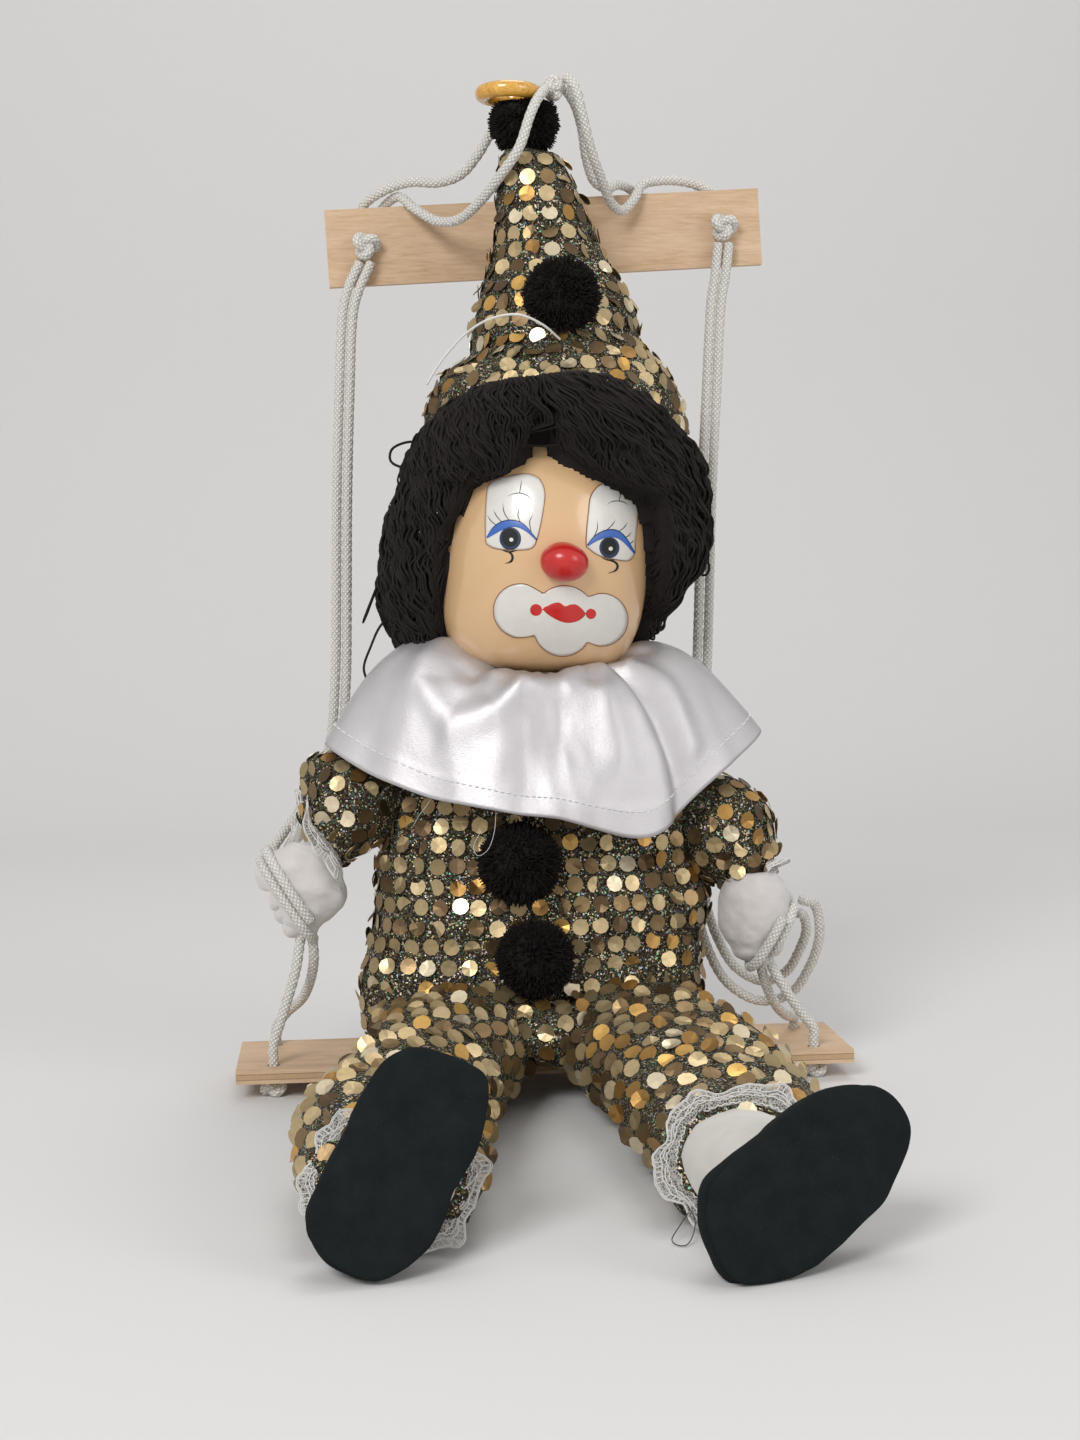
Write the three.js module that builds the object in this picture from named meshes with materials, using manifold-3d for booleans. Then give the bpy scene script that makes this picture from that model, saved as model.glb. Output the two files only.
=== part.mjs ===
// A sequinned clown doll sitting on a wooden rope swing.
// Millimetres, +Z up. The origin is the centre of the seat board's underside,
// +X runs along the seat and the doll faces -Y. "left" and "right" are -X and +X.
import * as THREE from 'three';
import { mergeVertices } from 'three/addons/utils/BufferGeometryUtils.js';
import Module from 'manifold-3d';

// Fits
const gap = 0.3;
const jointGap = 0.4;

// Seat board, with a cord hole near each corner
const seatLength = 203;
const seatDepth = 46.5;
const seatThickness = 4.5;
const seatHoleInsetX = 12;
const seatHoleInsetY = 7.25;
const seatHoleDiameter = 4.2;
const seatMiddleInsetLeft = 19.5;
const seatMiddleInsetRight = 9.5;

// Braided cord and its knots
const cordDiameter = 3.2;
const strandSpacing = 3.6;
const seatKnotDiameter = 9;
const seatKnotHeight = 5.2;
const floorZ = -(gap + seatKnotHeight);

// Hanger bar, a little higher at its right end
const barLength = 152;
const barHeight = 26.5;
const barThickness = 3.2;
const barCentre = new THREE.Vector3(9.2, 42, 280.6);
const barRoll = THREE.MathUtils.degToRad(2.87);
const barHoleInset = 13.5;
const barHoleDiameter = 5.5;
const barKnotWidth = 10;
const barKnotDepth = 6.4;
const barStemDiameter = 4.8;
const barStemReach = 2.6;

// Hanging ring, lying on the top pompom beside its cord knot
const ringDiameter = 22;
const ringSection = 5.2;
const ringCentreX = -5.4;
const ringCentreY = 10;
const ringKnotDiameter = 7.6;

// Pompoms
const tipPompomDiameter = 23.6;
const hatPompomDiameter = 25.4;
const chestPompomDiameter = 27;
const bellyPompomDiameter = 25.4;
const tipPompomCentre = new THREE.Vector3(0, 13, 314);
const hatPompomCentre = new THREE.Vector3(8.4, -21, 252);
const chestPompomCentre = new THREE.Vector3(-9.6, -35, 71);
const bellyPompomCentre = new THREE.Vector3(-5.2, -38, 42);
const tipPompomFlat = 6.1;

// Torso
const torsoTopZ = 115;
const torsoHalfWidth = 58;

// Neck, and the axis that the head turns on
const neckBase = new THREE.Vector3(1.5, 1, 118);
const neckDiameter = 20;
const neckLength = 32;
const turnAxis = tipPompomCentre.clone().sub(neckBase).normalize();

// Ceramic head
const headWidth = 71;
const headDepth = 75;
const headHeight = 88;
const headWall = 3;
const headCentre = new THREE.Vector3(1.5, -2, 174);
const headYaw = THREE.MathUtils.degToRad(7);
const headRoll = THREE.MathUtils.degToRad(4);
const headPitch = THREE.MathUtils.degToRad(6);
const neckStubDiameter = 27;
const neckStubStart = 6.1;
const noseWidth = 15;
const noseHeight = 12.5;
const noseDrop = 8;
const faceOpeningHalfWidth = 34;
const faceOpeningTop = 196;
const threadDiameter = 1.1;

// Arms
const leftShoulder = new THREE.Vector3(-50, 0, 95);
const rightShoulder = new THREE.Vector3(50, 0, 90);
const wristDiameter = 15.2;
const wristCuffFlare = 7;
const wristCuffLength = 7;
const wrapWidth = 7.2;

// Legs, feet and the hips that the legs swing on
const hipY = -40;
const hipZ = 13;
const hipX = 31;
const legWidth = 54;
const legThickness = 34;
const sockDiameter = 26;
const sockNarrowing = 1.6;
const sockInside = 16;
const soleLength = 58;
const soleWidth = 37.4;
const soleThickness = 3.4;
const shoeDepth = 13.5;
const ankleBack = 17;
const ankleDown = 5;
const ankleFlex = THREE.MathUtils.degToRad(14);
const footLean = THREE.MathUtils.degToRad(24);
const ankleCuffLength = 7;
const ankleCuffFlare = 4;
const clothThickness = 1.4;

// Satin collar
const collarThickness = 1.2;
const collarStandRadius = 13;

const wasm = await Module();
wasm.setup();

const vec = (x, y, z) => new THREE.Vector3(x, y, z);
const power = (value, exponent) => Math.sign(value) * Math.abs(value) ** exponent;

// Merges shared vertices and turns the faces outwards
function closed(geometry) {
  geometry.deleteAttribute('normal');
  geometry.deleteAttribute('uv');
  const merged = mergeVertices(geometry, 1e-4);
  const index = merged.index.array;
  const position = merged.attributes.position;
  const corner = (i) => new THREE.Vector3().fromBufferAttribute(position, index[i]);
  let volume = 0;
  for (let i = 0; i < index.length; i += 3) {
    volume += corner(i).dot(corner(i + 1).cross(corner(i + 2)));
  }
  if (volume < 0) {
    for (let i = 0; i < index.length; i += 3) {
      const first = index[i];
      index[i] = index[i + 1];
      index[i + 1] = first;
    }
  }
  return merged;
}

function toSolid(geometry) {
  const merged = closed(geometry.clone());
  return new wasm.Manifold(new wasm.Mesh({
    numProp: 3,
    vertProperties: Float32Array.from(merged.attributes.position.array),
    triVerts: Uint32Array.from(merged.index.array),
  }));
}

function toGeometry(solid) {
  const mesh = solid.getMesh();
  const geometry = new THREE.BufferGeometry();
  geometry.setAttribute('position', new THREE.BufferAttribute(mesh.vertProperties, 3));
  geometry.setIndex(new THREE.BufferAttribute(mesh.triVerts, 1));
  return geometry;
}

const cut = (geometry, ...tools) => toGeometry(
  tools.reduce((solid, tool) => solid.subtract(toSolid(tool)), toSolid(geometry)),
);
const join = (geometry, ...others) => toGeometry(
  others.reduce((solid, other) => solid.add(toSolid(other)), toSolid(geometry)),
);
const common = (first, second) => toGeometry(toSolid(first).intersect(toSolid(second)));

// A skin over rings of equal point count, closed by a fan at either end
function skin(rings, wrapAround = false) {
  const sides = rings[0].length;
  const points = rings.flat();
  const faces = [];
  const last = wrapAround ? rings.length : rings.length - 1;
  for (let r = 0; r < last; r += 1) {
    const here = r * sides;
    const next = ((r + 1) % rings.length) * sides;
    for (let s = 0; s < sides; s += 1) {
      const t = (s + 1) % sides;
      faces.push(here + s, here + t, next + t, here + s, next + t, next + s);
    }
  }
  if (!wrapAround) {
    for (const [ring, start, flip] of [[rings[0], 0, false], [rings.at(-1), last * sides, true]]) {
      const centre = ring.reduce((sum, p) => sum.add(p), vec(0, 0, 0)).divideScalar(sides);
      const middle = points.push(centre) - 1;
      for (let s = 0; s < sides; s += 1) {
        const t = (s + 1) % sides;
        faces.push(...(flip ? [middle, start + s, start + t] : [middle, start + t, start + s]));
      }
    }
  }
  const geometry = new THREE.BufferGeometry().setFromPoints(points);
  geometry.setIndex(faces);
  return closed(geometry);
}

// A stuffed shape: ovals at stations [x, y, z, half width, half height], joined smoothly.
// across and up are the ovals' directions; a cap rounds an end off over that length.
function stuffed({
  stations, across, up, rings = 8, sides = 16, square = 2, grow = 0, capStart = 0, capEnd = 0,
}) {
  const places = new THREE.CatmullRomCurve3(stations.map(([x, y, z]) => vec(x, y, z)));
  const sizes = new THREE.CatmullRomCurve3(stations.map(([, , , a, b]) => vec(a, b, 0)));
  places.curveType = 'catmullrom';
  sizes.curveType = 'catmullrom';
  const oval = (centre, a, b) => Array.from({ length: sides }, (_, s) => {
    const angle = (2 * Math.PI * s) / sides;
    return centre.clone()
      .addScaledVector(across, (a + grow) * power(Math.cos(angle), 2 / square))
      .addScaledVector(up, (b + grow) * power(Math.sin(angle), 2 / square));
  });
  const result = [];
  for (let r = 0; r <= rings; r += 1) {
    const size = sizes.getPoint(r / rings);
    result.push(oval(places.getPoint(r / rings), size.x, size.y));
  }
  const capSteps = [30, 60, 82].map((degrees) => THREE.MathUtils.degToRad(degrees));
  const addCap = (centre, size, outward, reach, push) => {
    for (const angle of capSteps) {
      const place = centre.clone().addScaledVector(outward, (reach + grow) * Math.sin(angle));
      const shrink = Math.cos(angle);
      const a = (size.x + grow) * shrink - grow;
      const b = (size.y + grow) * shrink - grow;
      push(oval(place, a, b));
    }
  };
  if (capStart > 0) {
    const outward = places.getTangent(0).negate();
    addCap(places.getPoint(0), sizes.getPoint(0), outward, capStart, (ring) => result.unshift(ring));
  }
  if (capEnd > 0) {
    addCap(places.getPoint(1), sizes.getPoint(1), places.getTangent(1), capEnd, (ring) => result.push(ring));
  }
  return skin(result);
}

// A round cord along its points
function cord(points, diameter = cordDiameter) {
  const path = new THREE.CatmullRomCurve3(points.map((p) => vec(...p)), false, 'centripetal');
  const section = new THREE.Shape(
    Array.from({ length: 8 }, (_, i) => new THREE.Vector2(diameter / 2, 0)
      .rotateAround(new THREE.Vector2(), (2 * Math.PI * i) / 8)),
  );
  const steps = Math.min(80, Math.max(4, Math.round(path.getLength() / (3 * diameter))));
  return closed(new THREE.ExtrudeGeometry(section, { steps, extrudePath: path }));
}

function cylinder(from, to, diameter, sides = 24) {
  const along = to.clone().sub(from);
  const geometry = new THREE.CylinderGeometry(diameter / 2, diameter / 2, along.length(), sides);
  const turn = new THREE.Quaternion().setFromUnitVectors(vec(0, 1, 0), along.clone().normalize());
  geometry.applyQuaternion(turn);
  const middle = from.clone().add(to).multiplyScalar(0.5);
  return geometry.translate(middle.x, middle.y, middle.z);
}

function ball(centre, diameter, wide = 16, high = 10) {
  return new THREE.SphereGeometry(diameter / 2, wide, high).translate(centre.x, centre.y, centre.z);
}

const floorBlock = new THREE.BoxGeometry(600, 900, 60).translate(0, -100, floorZ - 30);

const material = (color, roughness, metalness = 0) => new THREE.MeshStandardMaterial({
  color, roughness, metalness,
});
const wood = material(0xdcbd92, 0.65);
const amberWood = material(0xd9952f, 0.35);
const sequinCloth = material(0x7d6332, 0.4, 0.5);
const blackYarn = material(0x15110f, 0.95);
const blackCotton = material(0x141718, 0.85);
const satin = material(0xe9e6e6, 0.35);
const whiteFelt = material(0xd9d2cf, 0.9);
const whiteLace = material(0xe2dedb, 0.8);
const whiteCord = material(0xe4dfd8, 0.6);
const tanCeramic = material(0xd9a877, 0.25);

const doll = new THREE.Group();
const seatBody = new THREE.Group();
const headBody = new THREE.Group();
const ringBody = new THREE.Group();
doll.add(seatBody, headBody, ringBody);

function piece(body, name, geometry, look) {
  const mesh = new THREE.Mesh(geometry, look);
  mesh.name = name;
  body.add(mesh);
  return mesh;
}

// Seat board with its four holes. It is made in three lengths, with the seams between them
// off centre, so that the origin lies inside one face of the plain middle.
const seatHoleX = seatLength / 2 - seatHoleInsetX;
const seatHoleY = seatDepth / 2 - seatHoleInsetY;
const corners = [
  ['left_front', -1, -1],
  ['left_back', -1, 1],
  ['right_front', 1, -1],
  ['right_back', 1, 1],
];
const seatSeams = [
  -seatLength / 2, seatMiddleInsetLeft - seatHoleX, seatHoleX - seatMiddleInsetRight, seatLength / 2,
];
const seatLengths = [1, 0, 2].map((i) => toSolid(
  new THREE.BoxGeometry(seatSeams[i + 1] - seatSeams[i], seatDepth, seatThickness)
    .translate((seatSeams[i] + seatSeams[i + 1]) / 2, 0, seatThickness / 2),
));
const seatHoles = corners.map(([, side, end]) => toSolid(cylinder(
  vec(side * seatHoleX, end * seatHoleY, -seatThickness),
  vec(side * seatHoleX, end * seatHoleY, 2 * seatThickness),
  seatHoleDiameter,
)));
const seatSlab = seatLengths.reduce((slab, length) => slab.add(length));
piece(
  seatBody,
  'seat_board',
  toGeometry(seatHoles.reduce((slab, hole) => slab.subtract(hole), seatSlab)),
  wood,
);

// A flattened knot under each hole, which the seat stands on
const knotProfile = [
  [0, -seatKnotHeight], [0.32, -seatKnotHeight], [0.46, -0.78 * seatKnotHeight],
  [0.5, -0.5 * seatKnotHeight], [0.44, -0.2 * seatKnotHeight], [0.28, 0], [0, 0],
].map(([share, z]) => new THREE.Vector2(share * seatKnotDiameter, z));
for (const [corner, side, end] of corners) {
  const knot = closed(new THREE.LatheGeometry(knotProfile, 12).rotateX(Math.PI / 2));
  const mesh = piece(seatBody, `seat_knot_${corner}`, knot, whiteCord);
  mesh.position.set(side * seatHoleX, end * seatHoleY, -gap);
}

// Hips: a barrel across the top of each leg, which the leg swings on
const sideways = vec(1, 0, 0);
const upright = vec(0, 0, 1);
const backwards = vec(0, 1, 0);
const hipStation = (side) => [side * hipX, hipY, hipZ];
function hipBarrel(side, grow) {
  const steps = 7;
  const halfWide = legWidth / 2 + grow;
  const rings = Array.from({ length: steps - 1 }, (_, i) => {
    const angle = (Math.PI * (i + 1)) / steps;
    const radius = (legThickness / 2 + grow) * Math.sin(angle) ** 0.8;
    const x = side * hipX - halfWide * Math.cos(angle);
    return Array.from({ length: 16 }, (__, s) => {
      const turn = (2 * Math.PI * s) / 16;
      return vec(x, hipY + radius * Math.cos(turn), hipZ + radius * Math.sin(turn));
    });
  });
  return skin(rings);
}

// Torso of the jumpsuit
const torsoShape = (grow = 0) => stuffed({
  stations: [
    [0, -2, seatThickness + gap, 50, 24],
    [0, -2.5, 12, 57, 28],
    [0, -2, 28, torsoHalfWidth, 28.5],
    [0, -1.5, 50, 56, 27.5],
    [0, -1, 62, 52.5, 26.5],
    [0, -0.5, 73, 49, 25],
    [0, 0.5, 95, 48.5, 23.5],
    [0.5, 1, 107, 43, 21],
    [1.5, 1, torsoTopZ, 27, 15],
  ],
  across: sideways,
  up: backwards,
  rings: 11,
  sides: 20,
  square: 2.3,
  grow,
});
const crotch = stuffed({
  stations: [[-1.5, -36, 15, 11, 8.5], [1.5, -36, 15, 11, 8.5]],
  across: backwards,
  up: upright,
  rings: 2,
  sides: 16,
  capStart: 1.6,
  capEnd: 1.6,
});

// Shoulders: the sleeve starts on a flat face across the shoulder's axis
function sleeveShape(shoulder, stations, grow = 0) {
  const wrist = vec(...stations.at(-1).slice(0, 3));
  const along = wrist.sub(shoulder).normalize();
  const across = vec(0, 1, 0).cross(along).normalize();
  const up = along.clone().cross(across).normalize();
  return stuffed({ stations, across, up, rings: 8, sides: 16, grow, capStart: 8, capEnd: 2 });
}

const arms = {
  left: {
    side: -1,
    shoulder: leftShoulder,
    sleeve: [
      [-53, 0.5, 93, 14, 14],
      [-60, -2, 90, 18.5, 17.5],
      [-66, -5.5, 84.5, 18.5, 17.5],
      [-70.5, -9, 78, 13.5, 12.5],
      [-73.5, -11, 73.5, 8.6, 8.6],
    ],
    hand: [
      [-74.6, -11.8, 71.4, 7.4, 7.4],
      [-78.6, -13.6, 66, 11.4, 9.2],
      [-80.8, -15, 60, 12.8, 9.8],
      [-79.6, -16, 54, 9.6, 7.8],
    ],
    wrapPoint: vec(-86, -15, 61),
    wrapNormal: vec(0.83, 0, 0.55),
  },
  right: {
    side: 1,
    shoulder: rightShoulder,
    sleeve: [
      [53, 0.5, 87, 14, 14],
      [58.5, -1.5, 82, 17, 16.5],
      [64.5, -5, 75, 17, 16.5],
      [68.5, -9, 67.5, 13, 12.5],
      [70, -12, 62.5, 8.6, 8.6],
    ],
    hand: [
      [70.6, -12.8, 60.2, 7.4, 7.4],
      [71.4, -14, 55, 11.2, 9.2],
      [71.6, -15, 48.5, 12.6, 9.8],
      [71.8, -16, 42, 9.4, 7.8],
    ],
    wrapPoint: vec(77.4, -15, 42),
    wrapNormal: vec(-0.78, 0, 0.62),
  },
};

const torso = join(torsoShape(), crotch);
const armSlots = Object.values(arms).map(({ side, shoulder }) => new THREE.BoxGeometry(60, 60, 70)
  .translate(shoulder.x + side * (30 - gap), 0, shoulder.z - 3));
const trimmedTorso = cut(
  torso,
  hipBarrel(-1, jointGap),
  hipBarrel(1, jointGap),
  ...armSlots,
);
piece(seatBody, 'torso', trimmedTorso, sequinCloth);

// Neck post, standing on the torso inside the head's neck
const neckFoot = neckBase.clone().addScaledVector(turnAxis, gap);
const torsoTop = new THREE.BoxGeometry(80, 80, 40).translate(0, 0, torsoTopZ + gap - 20);
const neckTop = neckBase.clone().addScaledVector(turnAxis, neckLength);
const neckStart = neckFoot.clone().addScaledVector(turnAxis, -8);
piece(seatBody, 'neck', cut(cylinder(neckStart, neckTop, neckDiameter), torsoTop), sequinCloth);

// A round pompom, with whatever it sits on cut away from it
function pompom(body, name, centre, diameter, ...tools) {
  const whole = ball(centre, diameter);
  piece(body, name, tools.length ? cut(whole, ...tools) : closed(whole), blackYarn);
}
pompom(seatBody, 'chest_pompom', chestPompomCentre, chestPompomDiameter, torsoShape(gap));
pompom(
  seatBody,
  'belly_pompom',
  bellyPompomCentre,
  bellyPompomDiameter,
  torsoShape(gap),
  hipBarrel(-1, jointGap),
  hipBarrel(1, jointGap),
);

// Satin collar: at each bearing from the front, the radius, and the height above the torso's top,
// at neck, crown and hem
const collarCentre = vec(1.5, 0, 0);
const collarRows = [
  [0, 16.5, 11, 34, 4, 47, -29],
  [18, 16.5, 11, 37, 3, 48, -34],
  [38, 16.5, 11.5, 39, 6, 53, -36.5],
  [48, 16.5, 12, 31, 7, 46, -29],
  [58, 16.5, 12.5, 40, 14, 54, -27],
  [72, 16.5, 13, 43, 19, 65, -14],
  [88, 16.5, 13.5, 45, 21, 73, -5],
  [103, 16.5, 13.5, 42, 19, 56, -8],
  [125, 16.5, 13, 38, 13, 49, -14],
  [150, 16.5, 13, 35, 9, 46, -19],
  [180, 16.5, 13, 34, 7, 44, -21],
  [210, 16.5, 13, 35, 9, 47, -19],
  [236, 16.5, 13, 38, 14, 50, -14],
  [258, 16.5, 13.5, 43, 20, 60, -9],
  [278, 16.5, 13.5, 46, 22, 73, -6],
  [294, 16.5, 13, 43, 18, 65, -14],
  [306, 16.5, 12.5, 37, 10, 58, -20],
  [318, 16.5, 12, 39, 7, 53, -23],
  [338, 16.5, 11, 35, 4, 49, -26],
];
function collarSurface(bearing, share) {
  const count = collarRows.length;
  let row = 0;
  while (row < count - 1 && collarRows[row + 1][0] <= bearing) {
    row += 1;
  }
  const from = collarRows[row];
  const to = collarRows[(row + 1) % count];
  const span = (to[0] - from[0] + 360) % 360;
  const mix = THREE.MathUtils.smoothstep((bearing - from[0]) / span, 0, 1);
  const value = (column) => THREE.MathUtils.lerp(from[column], to[column], mix);
  const curve = new THREE.QuadraticBezierCurve(
    new THREE.Vector2(value(1), torsoTopZ + value(2)),
    new THREE.Vector2(
      2 * value(3) - (value(1) + value(5)) / 2,
      torsoTopZ + 2 * value(4) - (value(2) + value(6)) / 2,
    ),
    new THREE.Vector2(value(5), torsoTopZ + value(6)),
  );
  return curve.getPoint(share);
}

// A thin flared sheet with a low stand, which rests on the torso's top round the neck
function collarSkin() {
  const around = 42;
  const across = 4;
  const rings = [];
  for (let i = 0; i < around; i += 1) {
    const bearing = (360 * i) / around;
    const ring = [];
    const angle = THREE.MathUtils.degToRad(bearing);
    const add = (radius, z) => ring.push(vec(
      collarCentre.x + radius * Math.sin(angle),
      collarCentre.y - radius * Math.cos(angle),
      z,
    ));
    add(collarStandRadius, torsoTopZ + gap);
    for (let j = 0; j <= across; j += 1) {
      const place = collarSurface(bearing, j / across);
      add(place.x, place.y);
    }
    for (let j = across; j > 0; j -= 1) {
      const place = collarSurface(bearing, j / across);
      add(place.x - collarThickness * 0.66, place.y - collarThickness * 0.75);
    }
    const neckEdge = collarSurface(bearing, 0);
    add(neckEdge.x + collarThickness / 2, neckEdge.y - collarThickness * 1.3);
    add(collarStandRadius + collarThickness, torsoTopZ + gap);
    rings.push(ring);
  }
  return skin(rings, true);
}
piece(seatBody, 'collar', collarSkin(), satin);

// Hanger bar with its two holes
const barHoleX = barLength / 2 - barHoleInset;
const barOutline = new THREE.Shape([
  new THREE.Vector2(-barLength / 2, -barHeight / 2),
  new THREE.Vector2(barLength / 2, -barHeight / 2),
  new THREE.Vector2(barLength / 2, barHeight / 2),
  new THREE.Vector2(-barLength / 2, barHeight / 2),
]);
for (const side of [-1, 1]) {
  const hole = new THREE.Path();
  hole.absarc(side * barHoleX, 0, barHoleDiameter / 2, 0, 2 * Math.PI, true);
  barOutline.holes.push(hole);
}
const bar = piece(seatBody, 'hanger_bar', closed(new THREE.ExtrudeGeometry(barOutline, {
  depth: barThickness, bevelEnabled: false, curveSegments: 12,
}).translate(0, 0, -barThickness / 2).rotateX(Math.PI / 2)), wood);
bar.position.copy(barCentre);
bar.rotation.y = -barRoll;

// Where each of the bar's holes is, and the knot with its stem through it
const barHole = (side) => vec(
  barCentre.x + side * barHoleX * Math.cos(barRoll),
  barCentre.y,
  barCentre.z + side * barHoleX * Math.sin(barRoll),
);
for (const [word, side] of [['left', -1], ['right', 1]]) {
  const front = -barThickness / 2 - gap;
  const lump = new THREE.SphereGeometry(0.5, 12, 6)
    .scale(barKnotWidth, barKnotDepth, barKnotWidth)
    .translate(0, front - barKnotDepth / 2, 0);
  const stem = cylinder(
    vec(0, front - barKnotDepth / 2, 0),
    vec(0, barThickness / 2 + barStemReach, 0),
    barStemDiameter,
    12,
  );
  piece(seatBody, `bar_knot_${word}`, join(lump, stem), whiteCord).position.copy(barHole(side));
}

// Hanging ring
const ringZ = tipPompomCentre.z + tipPompomFlat + gap + ringSection / 2;
const ringRadius = (ringDiameter - ringSection) / 2;
const ringProfile = Array.from({ length: 9 }, (_, i) => {
  const angle = (2 * Math.PI * i) / 8;
  return new THREE.Vector2(
    ringRadius + (ringSection / 2) * Math.cos(angle),
    (ringSection / 2) * Math.sin(angle),
  );
});
const hangingRing = piece(
  ringBody,
  'hanging_ring',
  closed(new THREE.LatheGeometry(ringProfile, 24).rotateX(Math.PI / 2)),
  amberWood,
);
hangingRing.position.set(ringCentreX, ringCentreY, ringZ);

// Cord knot at the ring's right side
const ringKnotCentre = vec(
  ringCentreX + ringDiameter / 2 + gap + ringKnotDiameter / 2,
  ringCentreY,
  ringZ + 1.8,
);
piece(seatBody, 'ring_knot', closed(ball(ringKnotCentre, ringKnotDiameter, 12, 8)), whiteCord);

// Top pompom, pressed flat under the ring
const aboveFlat = new THREE.BoxGeometry(60, 60, 40)
  .translate(tipPompomCentre.x, tipPompomCentre.y, tipPompomCentre.z + tipPompomFlat + 20);
const underBore = cylinder(
  vec(ringCentreX, ringCentreY, ringZ - ringSection / 2 - gap - 1.4),
  vec(ringCentreX, ringCentreY, ringZ + 10),
  ringDiameter - 2 * ringSection + 1,
);

// Cords from the ring's knot, over the bar and down behind it to the knots' stems
const stemTop = (side, offset) => {
  const hole = barHole(side);
  const y = barCentre.y + barThickness / 2 + cordDiameter / 2 + 0.7;
  const z = hole.z + barStemDiameter / 2 + gap;
  return [[hole.x + offset, y, z + 4], [hole.x + offset, y, z]];
};
const ringCords = {
  left_front: [
    [6.9, 5.7, 324], [3.4, 0, 319], [0.6, -3.4, 313], [-3.2, -3.8, 302.5], [-9, 1.2, 294.6],
    [-15, 10, 288], [-22.2, 22, 283.6], [-29, 29.6, 284.5], [-36.5, 35.4, 289.8],
    [-41.6, 41.4, 294.8], [-46.6, 46.4, 292.2], ...stemTop(-1, strandSpacing / 2),
  ],
  left_back: [
    [8.6, 14.2, 326.6], [3, 23.5, 326], [-3.5, 28.4, 321.2], [-9.6, 29.4, 314.6],
    [-14.5, 30.5, 306.9], [-20.6, 32.5, 300.5], [-28, 34.6, 298.4], [-38, 37.6, 299],
    [-47.5, 41.6, 296.4], [-54, 46.2, 292], ...stemTop(-1, -strandSpacing / 2),
  ],
  right_front: [
    [13.6, 7.4, 328.4], [16.6, 6, 324.4], [19, 7, 316], [22.4, 12, 305.2], [27.2, 20, 295.6],
    [31.2, 28, 290], [35.4, 33, 288.6], [39.6, 35.8, 292.4], [43.6, 39.6, 298.6], [50, 43, 300.6],
    [57.5, 45.4, 301], [65, 47.2, 299.4], [71.6, 47.4, 294.6],
    ...stemTop(1, strandSpacing / 2),
  ],
  right_back: [
    [14, 13.6, 325.8], [17.8, 18.4, 321.5], [20.8, 24, 314.5], [22.6, 28, 305.5],
    [25.6, 31.4, 298.4], [30.4, 34.6, 296.4], [34.6, 38.6, 298.4], [38.6, 42.4, 298.2],
    [43.4, 46.8, 296], [55, 47.6, 294.8], [63, 47.5, 293.6],
    ...stemTop(1, -strandSpacing / 2),
  ],
};
for (const [name, points] of Object.entries(ringCords)) {
  piece(seatBody, `ring_cord_${name}`, cord(points), whiteCord);
}

// Rope strands: two a side, from the bar's knot to the hand and from the hand to the seat
const seatEnd = (side, end) => [10.5, 7, 3.5, 0]
  .map((z) => [side * seatHoleX, end * seatHoleY, z]);
const knotFoot = (side, offset) => {
  const hole = barHole(side);
  const y = hole.y - barThickness / 2 - gap - barKnotDepth / 2;
  return [hole.x + offset, y, hole.z - barKnotWidth / 2 - 0.7];
};
const ropes = {
  rope_left_front_upper: [
    knotFoot(-1, -2.3), [-59.6, 36.6, 263], [-61.6, 36, 255], [-63.6, 33, 224.3],
    [-65.1, 29, 189.8], [-66, 25.5, 155.6], [-67, 23, 128], [-69.5, 20.5, 106],
    [-76, 16.5, 90], [-84, 11, 79.5], [-89.6, 3.4, 71.6], [-90.4, -3.6, 66.4],
  ],
  rope_left_back_upper: [
    knotFoot(-1, 1.6), [-56, 36.6, 262], [-58, 36, 255], [-60, 33, 224.3],
    [-61.5, 29, 189.8], [-62.4, 25.5, 155.6], [-63.3, 23.4, 128], [-65.6, 21.8, 106],
    [-72.4, 17.4, 87.6], [-80.2, 12, 76.6], [-85.6, 5, 69], [-87, -0.6, 64.6],
  ],
  rope_left_front_lower: [
    [-80, -17, 45.2], [-81.6, -17.2, 36], [-85.2, -16.6, 24],
    ...seatEnd(-1, -1),
  ],
  rope_left_back_lower: [
    [-75.8, -15.4, 43], [-76, -11.6, 36], [-79.6, 0, 24], [-86, 12, 16],
    ...seatEnd(-1, 1),
  ],
  rope_right_front_upper: [
    knotFoot(1, -2), [68.2, 36.6, 266], [66.8, 36, 258.3], [64, 33, 223.2], [61.2, 28.6, 188.2],
    [59.3, 25, 153.6], [58, 23.4, 128], [56.8, 21.6, 104], [55.4, 20, 84], [54.6, 18.4, 66],
    [55.4, 16, 48.6], [59, 13.4, 33.6], [65.4, 11, 21.8], [76.1, 9, 15.6], [86.4, 7, 18],
    [93, 4, 28.4], [95.4, 0.6, 39.1], [93, -3.8, 50], [87.4, -8.6, 52.6],
  ],
  rope_right_back_upper: [
    knotFoot(1, 1.8), [71.9, 36.6, 266], [70.4, 36, 258.2], [67.6, 33, 223.2], [64.8, 28.6, 188.2],
    [62.9, 25, 153.5], [61.6, 23.6, 128], [60.4, 22.2, 104], [59, 21, 84], [58.2, 19.4, 66],
    [59, 17, 50], [62.6, 14.2, 37], [68.4, 11.6, 27], [77.4, 8.6, 22.4], [84.8, 5.6, 26],
    [88.6, 2, 33.6], [90.4, -1.6, 41.3], [88.6, -5, 47], [86, -8.4, 48.2],
  ],
  rope_right_front_lower: [
    [74.6, -16.4, 33.6], [80.4, -16.4, 23.4], [85.6, -16, 15.6], ...seatEnd(1, -1),
  ],
  rope_right_back_lower: [
    [71.8, -15.4, 32.6], [75, -11, 23.6], [79.8, -4, 15.6], [84.6, 4, 11], [87.8, 11, 9.4],
    ...seatEnd(1, 1).slice(1),
  ],
};
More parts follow.
